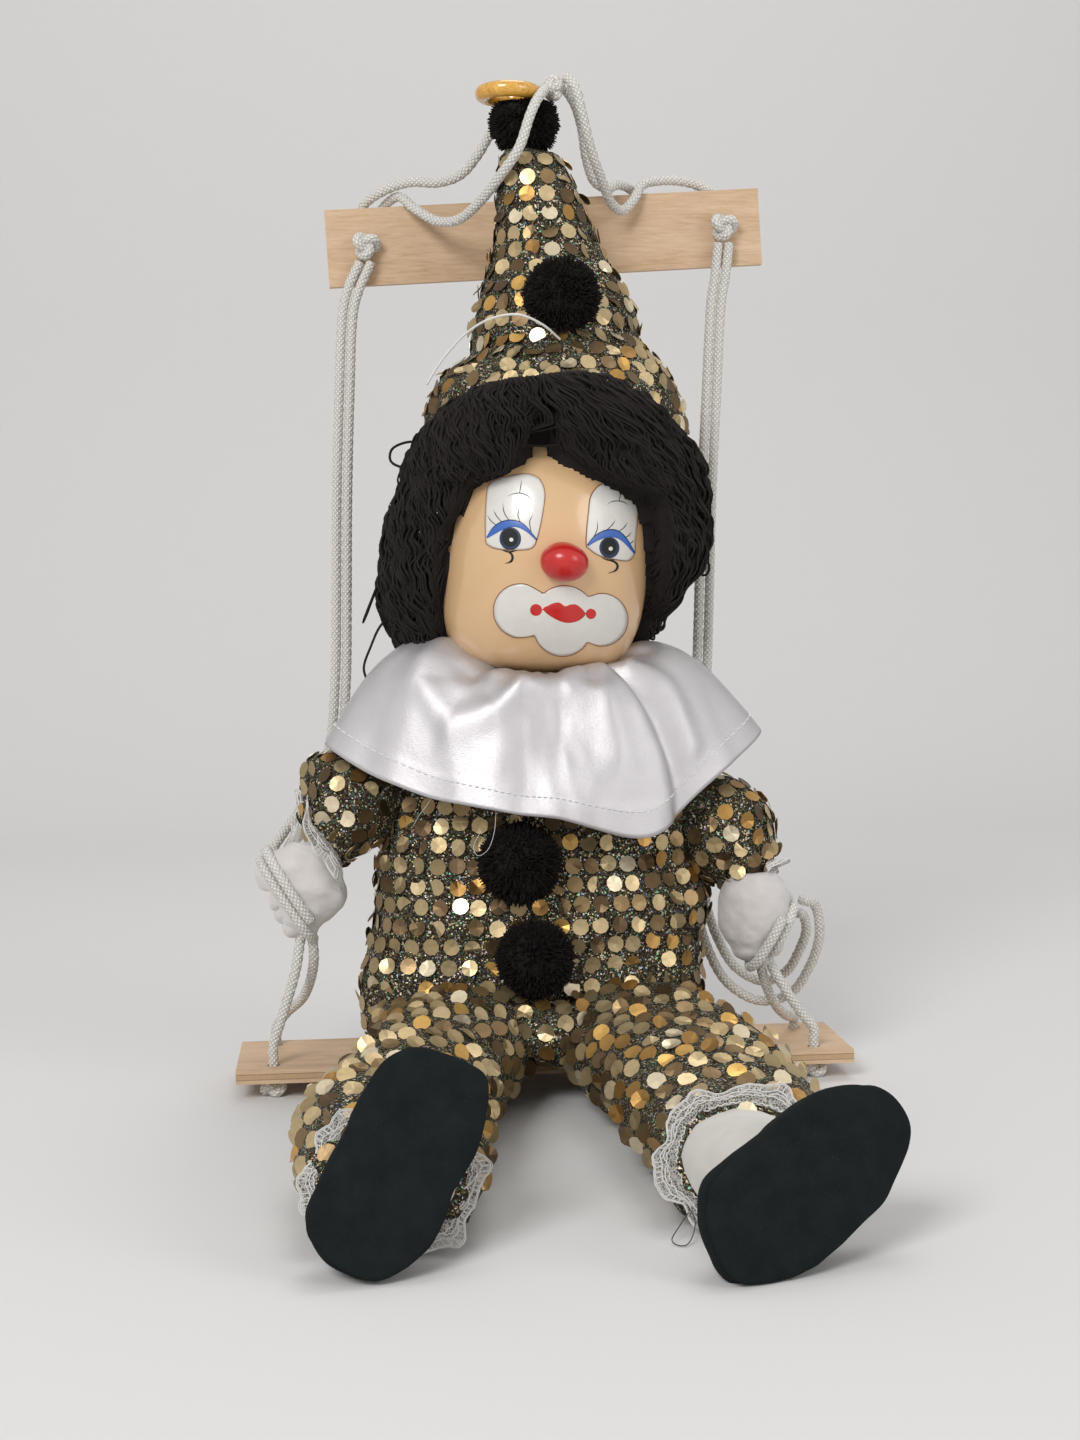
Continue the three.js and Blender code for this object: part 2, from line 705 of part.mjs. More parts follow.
for (const [name, points] of Object.entries(ropes)) {
  piece(seatBody, name, cord(points), whiteCord);
}

// A ruffle of lace: a flared band of thin cloth round a wrist or an ankle
function ruffle({ centre, across, up, along, inner, outer, length, waves, depth, around = 36 }) {
  const half = clothThickness / 2;
  const rings = [];
  for (let i = 0; i < around; i += 1) {
    const angle = (2 * Math.PI * i) / around;
    const ripple = depth * Math.sin(waves * angle);
    const place = (start, wall) => {
      const [a, b] = start ? inner : outer;
      const reach = start ? 0 : length;
      const wave = start ? 0 : ripple;
      return centre.clone()
        .addScaledVector(across, (a + wall + wave) * Math.cos(angle))
        .addScaledVector(up, (b + wall + wave) * Math.sin(angle))
        .addScaledVector(along, reach);
    };
    rings.push([place(true, -half), place(true, half), place(false, half), place(false, -half)]);
  }
  return skin(rings, true);
}

// Arms: sleeve, lace cuff, mitten hand and the cord wrapped round it
for (const [word, arm] of Object.entries(arms)) {
  const body = new THREE.Group();
  doll.add(body);
  const torsoSide = new THREE.BoxGeometry(100, 80, 80)
    .translate(arm.shoulder.x - arm.side * 50, 0, arm.shoulder.z);
  const sleeve = cut(sleeveShape(arm.shoulder, arm.sleeve), torsoSide);
  piece(body, `${word}_sleeve`, sleeve, sequinCloth);

  const wrist = vec(...arm.sleeve.at(-1).slice(0, 3));
  const palm = vec(...arm.hand[2].slice(0, 3));
  const along = palm.clone().sub(wrist).normalize();
  const up = vec(0, 1, 0).addScaledVector(along, -along.y).normalize();
  const across = up.clone().cross(along).normalize();
  const handShape = (grow) => stuffed({
    stations: arm.hand, across, up, rings: 4, sides: 12, grow, capStart: 1, capEnd: 4.5,
  });
  const hand = cut(handShape(0), sleeveShape(arm.shoulder, arm.sleeve, gap));
  const cuffInner = wristDiameter / 2 + gap + clothThickness / 2;
  const cuffOuter = cuffInner + wristCuffFlare;
  const cuff = ruffle({
    centre: wrist.clone().addScaledVector(along, 1.2),
    across,
    up,
    along,
    inner: [cuffInner, cuffInner],
    outer: [cuffOuter, cuffOuter],
    length: wristCuffLength,
    waves: 5,
    depth: 1.4,
    around: 25,
  });
  const roomyHand = handShape(gap);
  const facing = new THREE.Quaternion().setFromUnitVectors(
    sideways,
    arm.wrapNormal.clone().normalize(),
  );
  const wrapShape = (grow) => common(
    handShape(gap + cordDiameter + grow),
    new THREE.BoxGeometry(wrapWidth + 2 * grow, 60, 60)
      .applyQuaternion(facing)
      .translate(arm.wrapPoint.x, arm.wrapPoint.y, arm.wrapPoint.z),
  );
  const roomySleeve = sleeveShape(arm.shoulder, arm.sleeve, gap);
  const besideTorso = new THREE.BoxGeometry(2 * (torsoHalfWidth + jointGap), 120, 300);
  const trimmedCuff = cut(cuff, roomyHand, roomySleeve, wrapShape(gap), besideTorso);
  piece(body, `${word}_wrist_lace`, trimmedCuff, whiteLace);
  piece(body, `${word}_hand`, hand, whiteFelt);
  piece(body, `${word}_hand_wrap`, cut(wrapShape(0), roomyHand), whiteCord);
}

// Legs: pants leg, ankle lace, sock, and the shoe on its own body
const legs = {
  left: {
    side: -1,
    pants: [
      [-33, -60, 12.6, 27, 17],
      [-42, -95, 12.2, 28.5, 16.8],
      [-50, -130, 11.8, 29.5, 16.6],
      [-54, -160, 11.6, 26, 16.2],
      [-54.5, -186, 11.8, 20.6, 14.8],
    ],
    soleCentre: vec(-52.5, -207, 20.6),
    footTurn: THREE.MathUtils.degToRad(18),
  },
  right: {
    side: 1,
    pants: [
      [33.5, -60, 12.6, 27, 17],
      [37, -90, 12.2, 27, 16.8],
      [38.6, -120, 11.8, 26.5, 16.6],
      [38.6, -148, 11.6, 24, 16],
      [37, -176, 11.4, 20.4, 14.8],
    ],
    soleCentre: vec(45.5, -218, 19.4),
    footTurn: THREE.MathUtils.degToRad(37),
  },
};
const cuffSlope = 0.62;
for (const [word, leg] of Object.entries(legs)) {
  const legBody = new THREE.Group();
  const footBody = new THREE.Group();
  doll.add(legBody, footBody);

  // The foot's own directions: toe, sideways, and out through the sole
  const toe = vec(
    Math.sin(leg.footTurn) * Math.cos(footLean),
    Math.sin(footLean),
    Math.cos(leg.footTurn) * Math.cos(footLean),
  );
  const width = vec(Math.cos(leg.footTurn), 0, -Math.sin(leg.footTurn));
  const out = width.clone().cross(toe).normalize();
  const ankle = leg.soleCentre.clone()
    .addScaledVector(toe, -ankleDown)
    .addScaledVector(out, -ankleBack);

  // Sock, from inside the pants leg to the ankle, where it ends in a ball. The shoe's
  // socket for it flares by the angle that the foot swings through.
  const cuffEnd = vec(...leg.pants.at(-1).slice(0, 3));
  const sockShape = (grow, swing = 0) => {
    const station = (y, narrowing) => {
      const radius = sockDiameter / 2 - narrowing + (y - ankle.y) * Math.tan(swing);
      return [ankle.x, y, ankle.z, radius, radius];
    };
    return stuffed({
      stations: [
        station(cuffEnd.y + sockInside, sockNarrowing),
        station(cuffEnd.y, sockNarrowing),
        station(ankle.y, 0),
      ],
      across: sideways,
      up: upright,
      rings: 4,
      sides: 16,
      grow,
      capStart: 3,
      capEnd: sockDiameter / 2,
    });
  };
  const pantsShape = stuffed({
    stations: [[...hipStation(leg.side), legWidth / 2, legThickness / 2], ...leg.pants],
    across: sideways,
    up: vec(0, cuffSlope, 1),
    rings: 8,
    sides: 16,
  });
  const behindHip = new THREE.BoxGeometry(120, 60, 80).translate(leg.side * hipX, hipY + 30, hipZ);
  const pants = cut(
    join(cut(pantsShape, behindHip), hipBarrel(leg.side, 0)),
    sockShape(gap),
    floorBlock,
  );
  piece(legBody, `${word}_pants_leg`, pants, sequinCloth);
  piece(legBody, `${word}_sock`, cut(sockShape(0), floorBlock), whiteFelt);

  const [, , , cuffWide, cuffTall] = leg.pants.at(-1);
  const lace = ruffle({
    centre: cuffEnd.clone().add(vec(0, -gap, 0)),
    across: sideways,
    up: vec(0, cuffSlope, 1),
    along: vec(0, -1, 0),
    inner: [cuffWide - 1.4, cuffTall - 1.4],
    outer: [cuffWide + ankleCuffFlare, cuffTall + ankleCuffFlare - 1.5],
    length: ankleCuffLength,
    waves: 6,
    depth: 1.1,
    around: 30,
  });

  // Shoe: a flat padded sole and a low stuffed upper round the ankle
  const shoeRing = (reach, shrink) => {
    const centre = leg.soleCentre.clone().addScaledVector(out, reach);
    return Array.from({ length: 18 }, (_, i) => {
      const angle = (2 * Math.PI * i) / 18;
      return centre.clone()
        .addScaledVector(width, (soleWidth / 2) * shrink * power(Math.cos(angle), 0.86))
        .addScaledVector(toe, (soleLength / 2) * shrink * power(Math.sin(angle), 0.9));
    });
  };
  const soleSteps = [[-soleThickness, 0.95], [-0.7 * soleThickness, 1], [-0.3 * soleThickness, 1]];
  const sole = skin([...soleSteps, [0, 0.94]].map(([reach, shrink]) => shoeRing(reach, shrink)));
  const upperBack = -soleThickness - gap;
  const upperShape = (grow) => skin([
    [grow, 0.94], [-2.5, 0.98], [-6, 0.96], [-9.5, 0.86], [-shoeDepth + 1.5, 0.7],
    [-shoeDepth - grow, 0.52],
  ].map(([reach, shrink]) => shoeRing(upperBack + reach, shrink + (2 * grow) / soleWidth)));
  const socket = sockShape(jointGap, ankleFlex);
  const trimmedLace = cut(lace, floorBlock, sockShape(gap), upperShape(gap));
  piece(legBody, `${word}_ankle_lace`, trimmedLace, whiteLace);
  piece(footBody, `${word}_shoe_upper`, cut(upperShape(0), socket, floorBlock), blackCotton);
  piece(footBody, `${word}_shoe_sole`, cut(sole, floorBlock), blackCotton);
}

// Head: a hollow ceramic shell, modelled about its own centre and then turned into place
const headPlace = new THREE.Matrix4()
  .makeRotationFromEuler(new THREE.Euler(-headPitch, headRoll, headYaw, 'ZYX'))
  .setPosition(headCentre);
function headShape(inset, levels = 13, sides = 20) {
  const rings = [];
  for (let i = 1; i < levels; i += 1) {
    const angle = (Math.PI * i) / levels;
    const height = -Math.cos(angle);
    const round = Math.sin(angle) ** 0.92;
    const jaw = Math.max(0, -height);
    const wide = (headWidth / 2 - inset) * round * (1 - 0.1 * jaw ** 3);
    const deep = (headDepth / 2 - inset) * round * (1 - 0.14 * jaw ** 2);
    const forward = -3.5 * jaw ** 2;
    rings.push(Array.from({ length: sides }, (_, s) => {
      const turn = (2 * Math.PI * s) / sides;
      return vec(
        wide * Math.cos(turn),
        forward + deep * Math.sin(turn),
        (headHeight / 2 - inset) * height,
      );
    }));
  }
  return skin(rings);
}
const nose = new THREE.SphereGeometry(0.5, 14, 8)
  .scale(noseWidth, noseWidth, noseHeight)
  .translate(0, -headDepth / 2 - 0.5, -noseDrop);
const neckStub = cylinder(
  neckBase.clone().addScaledVector(turnAxis, neckStubStart),
  neckBase.clone().addScaledVector(turnAxis, neckLength - 6),
  neckStubDiameter,
);
const neckBore = cylinder(
  neckBase.clone().addScaledVector(turnAxis, -10),
  neckBase.clone().addScaledVector(turnAxis, neckLength + 2),
  neckDiameter + 2 * jointGap,
);
const headOuter = join(headShape(0), nose).applyMatrix4(headPlace);
const headInner = headShape(headWall, 9, 14).applyMatrix4(headPlace);
const headShell = cut(join(headOuter, neckStub), headInner, neckBore);
piece(headBody, 'head_shell', headShell, tanCeramic);

// Wig: one body of yarn over the head, open at the face
const roomyHead = headShape(-gap).applyMatrix4(headPlace);
const wigShape = (grow) => stuffed({
  stations: [
    [3, 6, 146, 43, 34],
    [3, 3, 158, 53, 42],
    [3.5, 1, 176, 53.5, 45],
    [5, -1, 194, 49, 45],
    [6.5, -2, 209, 43.5, 42.5],
    [8, -3, 220, 33, 36],
  ],
  across: sideways,
  up: backwards,
  rings: 7,
  sides: 20,
  grow,
  capStart: 6,
  capEnd: 9,
});
const faceOpening = stuffed({
  stations: [
    [4, -120, 150, faceOpeningHalfWidth, faceOpeningTop - 150],
    [4, -60, 150, faceOpeningHalfWidth, faceOpeningTop - 150],
    [4, -12, 150, faceOpeningHalfWidth, faceOpeningTop - 150],
  ],
  across: sideways,
  up: upright,
  rings: 2,
  sides: 24,
});
const wig = cut(wigShape(0), roomyHead, faceOpening);
piece(headBody, 'wig', wig, blackYarn);

// Hat: a soft cone leaning left, flared at its hem, sitting over the wig
const hatShape = (grow) => stuffed({
  stations: [
    [9.2, 4, 207, 44.5, 43.5],
    [8.6, 4.4, 221.5, 42.6, 41],
    [9.2, 5.4, 237, 31.8, 31],
    [8.4, 7, 254, 24.4, 24],
    [6.4, 9, 271, 18, 18],
    [4, 10.6, 287, 13.8, 13.8],
    [1.8, 12, 302, 9.8, 9.8],
  ],
  across: sideways,
  up: backwards,
  rings: 9,
  sides: 20,
  grow,
  capEnd: 3,
});
const roomyTip = ball(tipPompomCentre, tipPompomDiameter + 2 * gap);
piece(headBody, 'hat', cut(hatShape(0), wigShape(gap), roomyTip), sequinCloth);
pompom(headBody, 'tip_pompom', tipPompomCentre, tipPompomDiameter, aboveFlat, underBore);

pompom(headBody, 'hat_pompom', hatPompomCentre, hatPompomDiameter, hatShape(gap));

// Loose sewing thread on the hat
piece(headBody, 'hat_thread', cord([
  [7.1, -26, 237.6], [1.2, -30.2, 241.8], [-6.6, -32, 244.8], [-15.5, -27.4, 244],
  [-22.1, -22.6, 240.6], [-27, -19.4, 236.2], [-31.6, -17.6, 230.6], [-35.4, -16.4, 224.6],
], threadDiameter), whiteCord);

export default doll;
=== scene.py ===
# A sequinned clown doll on a wooden rope swing.
# Sizes are in millimetres unless a note says otherwise. Meshes become metres when finished.
import random
from math import (
    asin, atan2, copysign, cos, degrees, exp, floor, hypot, log, pi, radians, sin, sqrt, tan, tau,
)

import bmesh
import bpy
from mathutils import Matrix, Vector, noise
from mathutils.bvhtree import BVHTree


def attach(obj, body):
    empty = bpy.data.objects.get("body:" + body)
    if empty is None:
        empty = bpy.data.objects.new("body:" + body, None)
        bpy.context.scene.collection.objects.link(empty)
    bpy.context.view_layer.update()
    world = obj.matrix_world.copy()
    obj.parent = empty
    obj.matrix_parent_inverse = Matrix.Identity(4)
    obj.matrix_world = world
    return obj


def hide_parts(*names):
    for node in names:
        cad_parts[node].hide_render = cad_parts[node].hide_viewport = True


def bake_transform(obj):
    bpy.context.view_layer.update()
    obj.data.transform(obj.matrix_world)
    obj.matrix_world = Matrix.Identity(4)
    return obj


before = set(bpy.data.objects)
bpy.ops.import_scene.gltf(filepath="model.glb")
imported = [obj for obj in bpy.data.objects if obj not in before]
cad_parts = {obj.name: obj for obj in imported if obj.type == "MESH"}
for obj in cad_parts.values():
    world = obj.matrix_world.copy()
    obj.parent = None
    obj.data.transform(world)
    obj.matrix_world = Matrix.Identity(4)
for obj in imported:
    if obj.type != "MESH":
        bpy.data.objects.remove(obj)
for name in ("Cube", "Light", "Camera"):  # what a new file starts with
    if name in bpy.data.objects:
        bpy.data.objects.remove(bpy.data.objects[name])
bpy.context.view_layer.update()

mm = 0.001
random.seed(7)
right = Vector((1, 0, 0))
back = Vector((0, 1, 0))
up = Vector((0, 0, 1))
floorZ = -5.5


# Shader maths

class Wire:  # a node's output, with Python's own arithmetic
    def __init__(self, look, socket):
        self.look = look
        self.socket = socket

    def math(self, operation, *values):
        return self.look.add("ShaderNodeMath", {"operation": operation}, dict(enumerate(values)))

    def __add__(self, other):
        return self.math("ADD", self, other)

    def __radd__(self, other):
        return self.math("ADD", other, self)

    def __sub__(self, other):
        return self.math("SUBTRACT", self, other)

    def __rsub__(self, other):
        return self.math("SUBTRACT", other, self)

    def __mul__(self, other):
        return self.math("MULTIPLY", self, other)

    def __rmul__(self, other):
        return self.math("MULTIPLY", other, self)

    def __gt__(self, other):
        return self.math("GREATER_THAN", self, other)

    def __lt__(self, other):
        return self.math("LESS_THAN", self, other)

    def sine(self):
        return self.math("SINE", self)

    def size(self):
        return self.math("ABSOLUTE", self)


class Nodes:  # one node tree
    def __init__(self, tree):
        self.tree = tree

    def plug(self, socket, value):
        if isinstance(value, Wire):
            self.tree.links.new(value.socket, socket)
        elif isinstance(value, tuple) and len(value) == 3 and socket.type == "RGBA":
            socket.default_value = (*value, 1)
        else:
            socket.default_value = value

    def add(self, kind, settings=None, inputs=None, output=0):
        node = self.tree.nodes.new(kind)
        for key, value in (settings or {}).items():
            if key == "stops":
                ramp = node.color_ramp
                while len(ramp.elements) < len(value):
                    ramp.elements.new(0.5)
                for element, (place, colour) in zip(ramp.elements, value):
                    element.position = place
                    element.color = (*colour, 1)
            else:
                setattr(node, key, value)
        for key, value in (inputs or {}).items():
            self.plug(node.inputs[key], value)
        return Wire(self, node.outputs[output])

    def place(self, scale=(1, 1, 1), turn=(0, 0, 0), source="Object"):
        coordinates = self.add("ShaderNodeTexCoord", output=source)
        return self.add("ShaderNodeMapping", None, {
            "Vector": coordinates, "Scale": scale, "Rotation": turn,
        })

    def noise(self, vector, scale, detail=3, roughness=0.55, distortion=0):
        return self.add("ShaderNodeTexNoise", None, {
            "Vector": vector, "Scale": scale, "Detail": detail, "Roughness": roughness,
            "Distortion": distortion,
        })

    def cells(self, vector, scale, feature="F1", output=0):
        return self.add("ShaderNodeTexVoronoi", {"feature": feature}, {
            "Vector": vector, "Scale": scale,
        }, output)

    def ramp(self, value, stops):
        return self.add("ShaderNodeValToRGB", {"stops": stops}, {"Fac": value})

    def mix(self, share, first, second):
        return self.add("ShaderNodeMix", {"data_type": "RGBA"}, {
            0: share, 6: first, 7: second,
        }, 2)

    def spread(self, value, low, high):
        return self.add("ShaderNodeMapRange", None, {
            "Value": value, "To Min": low, "To Max": high,
        })

    def split(self, vector, output):
        return self.add("ShaderNodeSeparateXYZ", None, {0: vector}, output)


class Look(Nodes):  # one material
    def __init__(self, name, **finish):
        self.material = bpy.data.materials.new(name)
        self.material.use_nodes = True
        super().__init__(self.material.node_tree)
        self.shader = self.tree.nodes["Principled BSDF"]
        self.finish(**finish)

    def finish(self, **values):  # baseColor=... sets the shader's Base Color, and so on
        names = {"specularIorLevel": "Specular IOR Level"}
        for key, value in values.items():
            words = "".join(" " + c if c.isupper() else c for c in key).title()
            self.plug(self.shader.inputs[names.get(key, words)], value)

    def bump(self, height, strength=0.5, depth=0.0003):
        self.finish(normal=self.add("ShaderNodeBump", None, {
            "Height": height, "Strength": strength, "Distance": depth,
        }))
        return self


# Mesh helpers

def wrap(bm, columns, rows, place, tiles=(1, 1), fillEnds=True):
    # a grid laid on place(u, v), its UV counted in tiles, its seam joined and its ends closed
    layer = bm.loops.layers.uv.verify()
    made = bmesh.ops.create_grid(bm, x_segments=columns, y_segments=rows, size=0.5)["verts"]
    for vert in made:
        u, v = vert.co.x + 0.5, vert.co.y + 0.5
        for loop in vert.link_loops:
            loop[layer].uv = (u * tiles[0], v * tiles[1])
        vert.co = place(u, v)
    bmesh.ops.remove_doubles(bm, verts=made, dist=0.0004)
    if fillEnds:
        edges = [e for e in bm.edges if e.is_boundary]
        bmesh.ops.holes_fill(bm, edges=edges, sides=0)
    bmesh.ops.recalc_face_normals(bm, faces=bm.faces)


def addToScene(name, data):
    made = bpy.data.objects.new(name, data)
    bpy.context.scene.collection.objects.link(made)
    return made


def toMesh(name, bm):
    mesh = bpy.data.meshes.new(name)
    bm.to_mesh(mesh)
    bm.free()
    return mesh


def makePiece(name, bm, look, body=None, slot=None, replaces=(), smooth=True):
    bmesh.ops.scale(bm, vec=(mm, mm, mm), verts=bm.verts)
    return placePiece(name, toMesh(name, bm), look, body, slot, replaces, smooth)


def placePiece(name, mesh, look, body=None, slot=None, replaces=(), smooth=True):
    piece = addToScene(name, mesh)
    mesh.materials.clear()
    mesh.materials.append(look.material)
    mesh.polygons.foreach_set("use_smooth", [smooth] * len(mesh.polygons))
    if body:
        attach(piece, body)
    if replaces:
        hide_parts(*replaces)
    return piece


def mixed(a, b, share):
    return a + (b - a) * share


def clamp(value, low=0, high=1):
    return min(high, max(low, value))


def eased(share):
    share = clamp(share)
    return share * share * (3 - 2 * share)


def power(value, exponent):
    return copysign(abs(value) ** exponent, value)


def turned(angle, axis):  # a turn by degrees
    return Matrix.Rotation(radians(angle), 3, axis)


def keepAbove(bm, low):  # rests a soft shape on what is under it
    for vert in bm.verts:
        vert.co.z = max(vert.co.z, low)


def curveAt(knots, share):  # a smooth curve through equally spaced knots of any length
    last = len(knots) - 1
    place = min(share * last, last - 1e-9)
    i = int(place)
    t = place - i
    a, b = knots[i], knots[i + 1]
    before = knots[i - 1] if i > 0 else [2 * p - q for p, q in zip(a, b)]
    after = knots[i + 2] if i + 2 <= last else [2 * q - p for p, q in zip(a, b)]
    return [
        0.5 * (2 * q + (r - p) * t + (2 * p - 5 * q + 4 * r - s) * t * t
               + (3 * q - p - 3 * r + s) * t ** 3)
        for p, q, r, s in zip(before, a, b, after)
    ]


def route(points, step):  # a smooth route through points, in even steps
    knots = [Vector(p) for p in points]
    knots = [2 * knots[0] - knots[1], *knots, 2 * knots[-1] - knots[-2]]
    fine = []
    for a, b, c, d in zip(knots, knots[1:], knots[2:], knots[3:]):
        gaps = [max(1e-4, (q - p).length ** 0.5) for p, q in ((a, b), (b, c), (c, d))]
        slopeB = ((b - a) / gaps[0] - (c - a) / (gaps[0] + gaps[1]) + (c - b) / gaps[1]) * gaps[1]
        slopeC = ((c - b) / gaps[1] - (d - b) / (gaps[1] + gaps[2]) + (d - c) / gaps[2]) * gaps[1]
        for i in range(24):
            t = i / 24
            fine.append(b * (2 * t ** 3 - 3 * t * t + 1) + slopeB * (t ** 3 - 2 * t * t + t)
                        + c * (3 * t * t - 2 * t ** 3) + slopeC * (t ** 3 - t * t))
    fine.append(knots[-2])
    total = sum((q - p).length for p, q in zip(fine, fine[1:]))
    count = max(3, round(total / step))
    result = [fine[0]]
    walked = 0
    for p, q in zip(fine, fine[1:]):
        length = (q - p).length
        while len(result) < count and walked + length >= total * len(result) / count - 1e-9:
            share = (total * len(result) / count - walked) / max(length, 1e-9)
            result.append(p.lerp(q, min(1, share)))
        walked += length
    return [*result[:count], fine[-1]]


def routeLength(points):
    return sum((Vector(q) - Vector(p)).length for p, q in zip(points, points[1:]))


def walkedAlong(points):  # how far along a route each of its points is
    walked = [0]
    for p, q in zip(points, points[1:]):
        walked.append(walked[-1] + (q - p).length)
    return walked


def tube(bm, points, radius, sides, relief=None):  # a tube with square-cut ends
    count = len(points)
    ahead = [(points[min(i + 1, count - 1)] - points[max(i - 1, 0)]).normalized()
             for i in range(count)]
    side = ahead[0].orthogonal().normalized()
    sideways = []
    for direction in ahead:
        side = (side - direction * side.dot(direction)).normalized()
        sideways.append(side)
    length = routeLength(points)

    def around(u, v):
        i = round(v * (count - 1))
        angle = tau * u
        other = ahead[i].cross(sideways[i])
        reach = radius + (relief(u, v * length) if relief else 0)
        return points[i] + (sideways[i] * cos(angle) + other * sin(angle)) * reach

    wrap(bm, sides, count - 1, around, tiles=(1, length / (2 * radius)))


def strands(name, routes, radius, look, fine=1, **placing):  # many thin threads as one piece
    curve = bpy.data.curves.new(name, "CURVE")
    curve.dimensions = "3D"
    curve.bevel_depth = radius * mm
    curve.bevel_resolution = fine
    curve.use_fill_caps = True
    for points in routes:
        spline = curve.splines.new("POLY")
        spline.points.add(len(points) - 1)
        spline.points.foreach_set("co", [c for p in points for c in (*(Vector(p[:3]) * mm), 1)])
        spline.points.foreach_set("radius", [p[3] if len(p) > 3 else 1 for p in points])
    holder = addToScene(name, curve)
    mesh = bpy.data.meshes.new_from_object(
        holder.evaluated_get(bpy.context.evaluated_depsgraph_get()))
    bpy.data.objects.remove(holder)
    bpy.data.curves.remove(curve)
    mesh.name = name
    return placePiece(name, mesh, look, **placing)


def scatter(name, templates, spots, look, **placing):  # copies of small templates, each with a tone
    bm = bmesh.new()
    places = []
    tones = []
    for which, matrix, tone in spots:
        bm.from_mesh(templates[which])
        size = len(templates[which].vertices)
        places.extend([matrix] * size)
        tones.extend([tone] * size)
    for vert, matrix in zip(bm.verts, places):
        vert.co = matrix @ vert.co
    piece = makePiece(name, bm, look, smooth=False, **placing)
    layer = piece.data.attributes.new("tone", "FLOAT_COLOR", "POINT")
    layer.data.foreach_set("color", [c for tone in tones for c in (*tone, 1)])
    return piece


# Camera, floor and light

shot = {
    "place": (-63.7, -719.3, 157.4),
    "yaw": 5.14,  # turns in degrees
    "pitch": 3.4,
    "roll": -0.93,
    "lens": 54.08,
    "sensor": 36,
}


def makeCamera():
    yaw, pitch, roll = (radians(shot[k]) for k in ("yaw", "pitch", "roll"))
    ahead = Vector((sin(yaw) * cos(pitch), cos(yaw) * cos(pitch), -sin(pitch)))
    level = Vector((cos(yaw), -sin(yaw), 0))
    above = level.cross(ahead)
    sideways = level * cos(roll) + above * sin(roll)
    above = above * cos(roll) - level * sin(roll)
    data = bpy.data.cameras.new("camera")
    data.lens = shot["lens"]
    data.sensor_fit = "VERTICAL"
    data.sensor_height = data.sensor_width = shot["sensor"]
    data.clip_start, data.clip_end = 0.01, 50
    camera = addToScene("camera", data)
    turn = Matrix((sideways, above, -ahead)).transposed().to_4x4()
    camera.matrix_world = Matrix.Translation(Vector(shot["place"]) * mm) @ turn
    bpy.context.scene.camera = camera


studio = {
    "floor": (0.78, 0.77, 0.76),
    "surround": (0.88, 0.87, 0.86),
    "ambient": 0.40,
    "lamps": [  # place in metres, size in metres, watts
        ((-0.70, -1.35, 1.05), 0.7, 15),
        ((1.15, -1.05, 0.65), 0.8, 4.5),
        ((0.2, 0.35, 1.5), 0.8, 4.5),
    ],
    "aim": (0, 0, 0.15),
    "paper": {"reach": 2500, "bendAt": 700, "bend": 400, "top": 2600},
}


def makeStudio():
    scene = bpy.context.scene
    scene.view_settings.view_transform = "Standard"
    world = bpy.data.worlds.new("studio")
    world.use_nodes = True
    scene.world = world
    nodes = Nodes(world.node_tree)
    paths = nodes.add("ShaderNodeLightPath", output="Is Camera Ray")
    glossy, through = (Wire(nodes, paths.socket.node.outputs[name])
                       for name in ("Is Glossy Ray", "Is Transmission Ray"))
    seen = paths.math("MAXIMUM", paths.math("MAXIMUM", paths, glossy), through)
    light = nodes.add("ShaderNodeBackground", None, {0: (1, 1, 1), 1: studio["ambient"]})
    shown = nodes.add("ShaderNodeBackground", None, {0: studio["surround"], 1: 1.0})
    mix = nodes.add("ShaderNodeMixShader", None, {0: seen, 1: light, 2: shown})
    world.node_tree.links.new(mix.socket, world.node_tree.nodes["World Output"].inputs[0])
    for i, (place, size, watts) in enumerate(studio["lamps"]):
        data = bpy.data.lights.new(f"lamp_{i + 1}", "AREA")
        data.shape = "DISK"
        data.size = size
        data.energy = watts
        lamp = addToScene(f"lamp_{i + 1}", data)
        lamp.location = place
        aim = Vector(studio["aim"]) - Vector(place)
        lamp.rotation_euler = aim.to_track_quat("-Z", "Y").to_euler()
    makePaper()


def makePaper():  # the floor, which bends up into the backdrop
    reach, bendAt, bend, top = studio["paper"].values()
    bm = bmesh.new()
    edge = [bm.edges.new([bm.verts.new((x, -reach, floorZ)) for x in (-reach, reach)])]
    profile = [(bendAt, floorZ)]
    profile += [(bendAt + bend * sin(a), floorZ + bend - bend * cos(a))
                for a in (pi / 24 * i for i in range(1, 13))]
    profile += [(bendAt + bend, top)]
    y, z = -reach, floorZ
    for nextY, nextZ in profile:
        made = bmesh.ops.extrude_edge_only(bm, edges=edge)["geom"]
        edge = [g for g in made if isinstance(g, bmesh.types.BMEdge)]
        bmesh.ops.translate(bm, vec=(0, nextY - y, nextZ - z),
                            verts=[g for g in made if isinstance(g, bmesh.types.BMVert)])
        y, z = nextY, nextZ
    bmesh.ops.recalc_face_normals(bm, faces=bm.faces)
    look = Look("pale paper", roughness=0.9, specularIorLevel=0.1)
    fibre = look.noise(look.place(), 900, 3)
    pale = studio["floor"]
    look.finish(baseColor=look.mix(fibre, tuple(c * 0.985 for c in pale), pale))
    makePiece("paper_floor", bm, look)


makeCamera()
makeStudio()
print("camera and studio made")


# Finishes

def cordLook():
    look = Look("braided cord", baseColor=(0.80, 0.77, 0.72), roughness=0.6, sheenWeight=0.3)
    turns = look.place((6, 1.9, 1), source="UV")
    across = look.split(turns, 0) * pi
    along = look.split(turns, 1) * pi
    braid = (across + along).sine().size() * (across - along).sine().size()
    fibres = look.noise(look.place(), 5200, 2)
    # the cord's own white, with painted shade where the braid is low: the hollows between the
    # plaited strands are mixed towards the darker colour
    look.finish(baseColor=look.mix(braid, (0.56, 0.53, 0.47), (0.93, 0.91, 0.88)))
    return look.bump(braid * 0.8 + fibres * 0.15, 0.7, 0.0006)


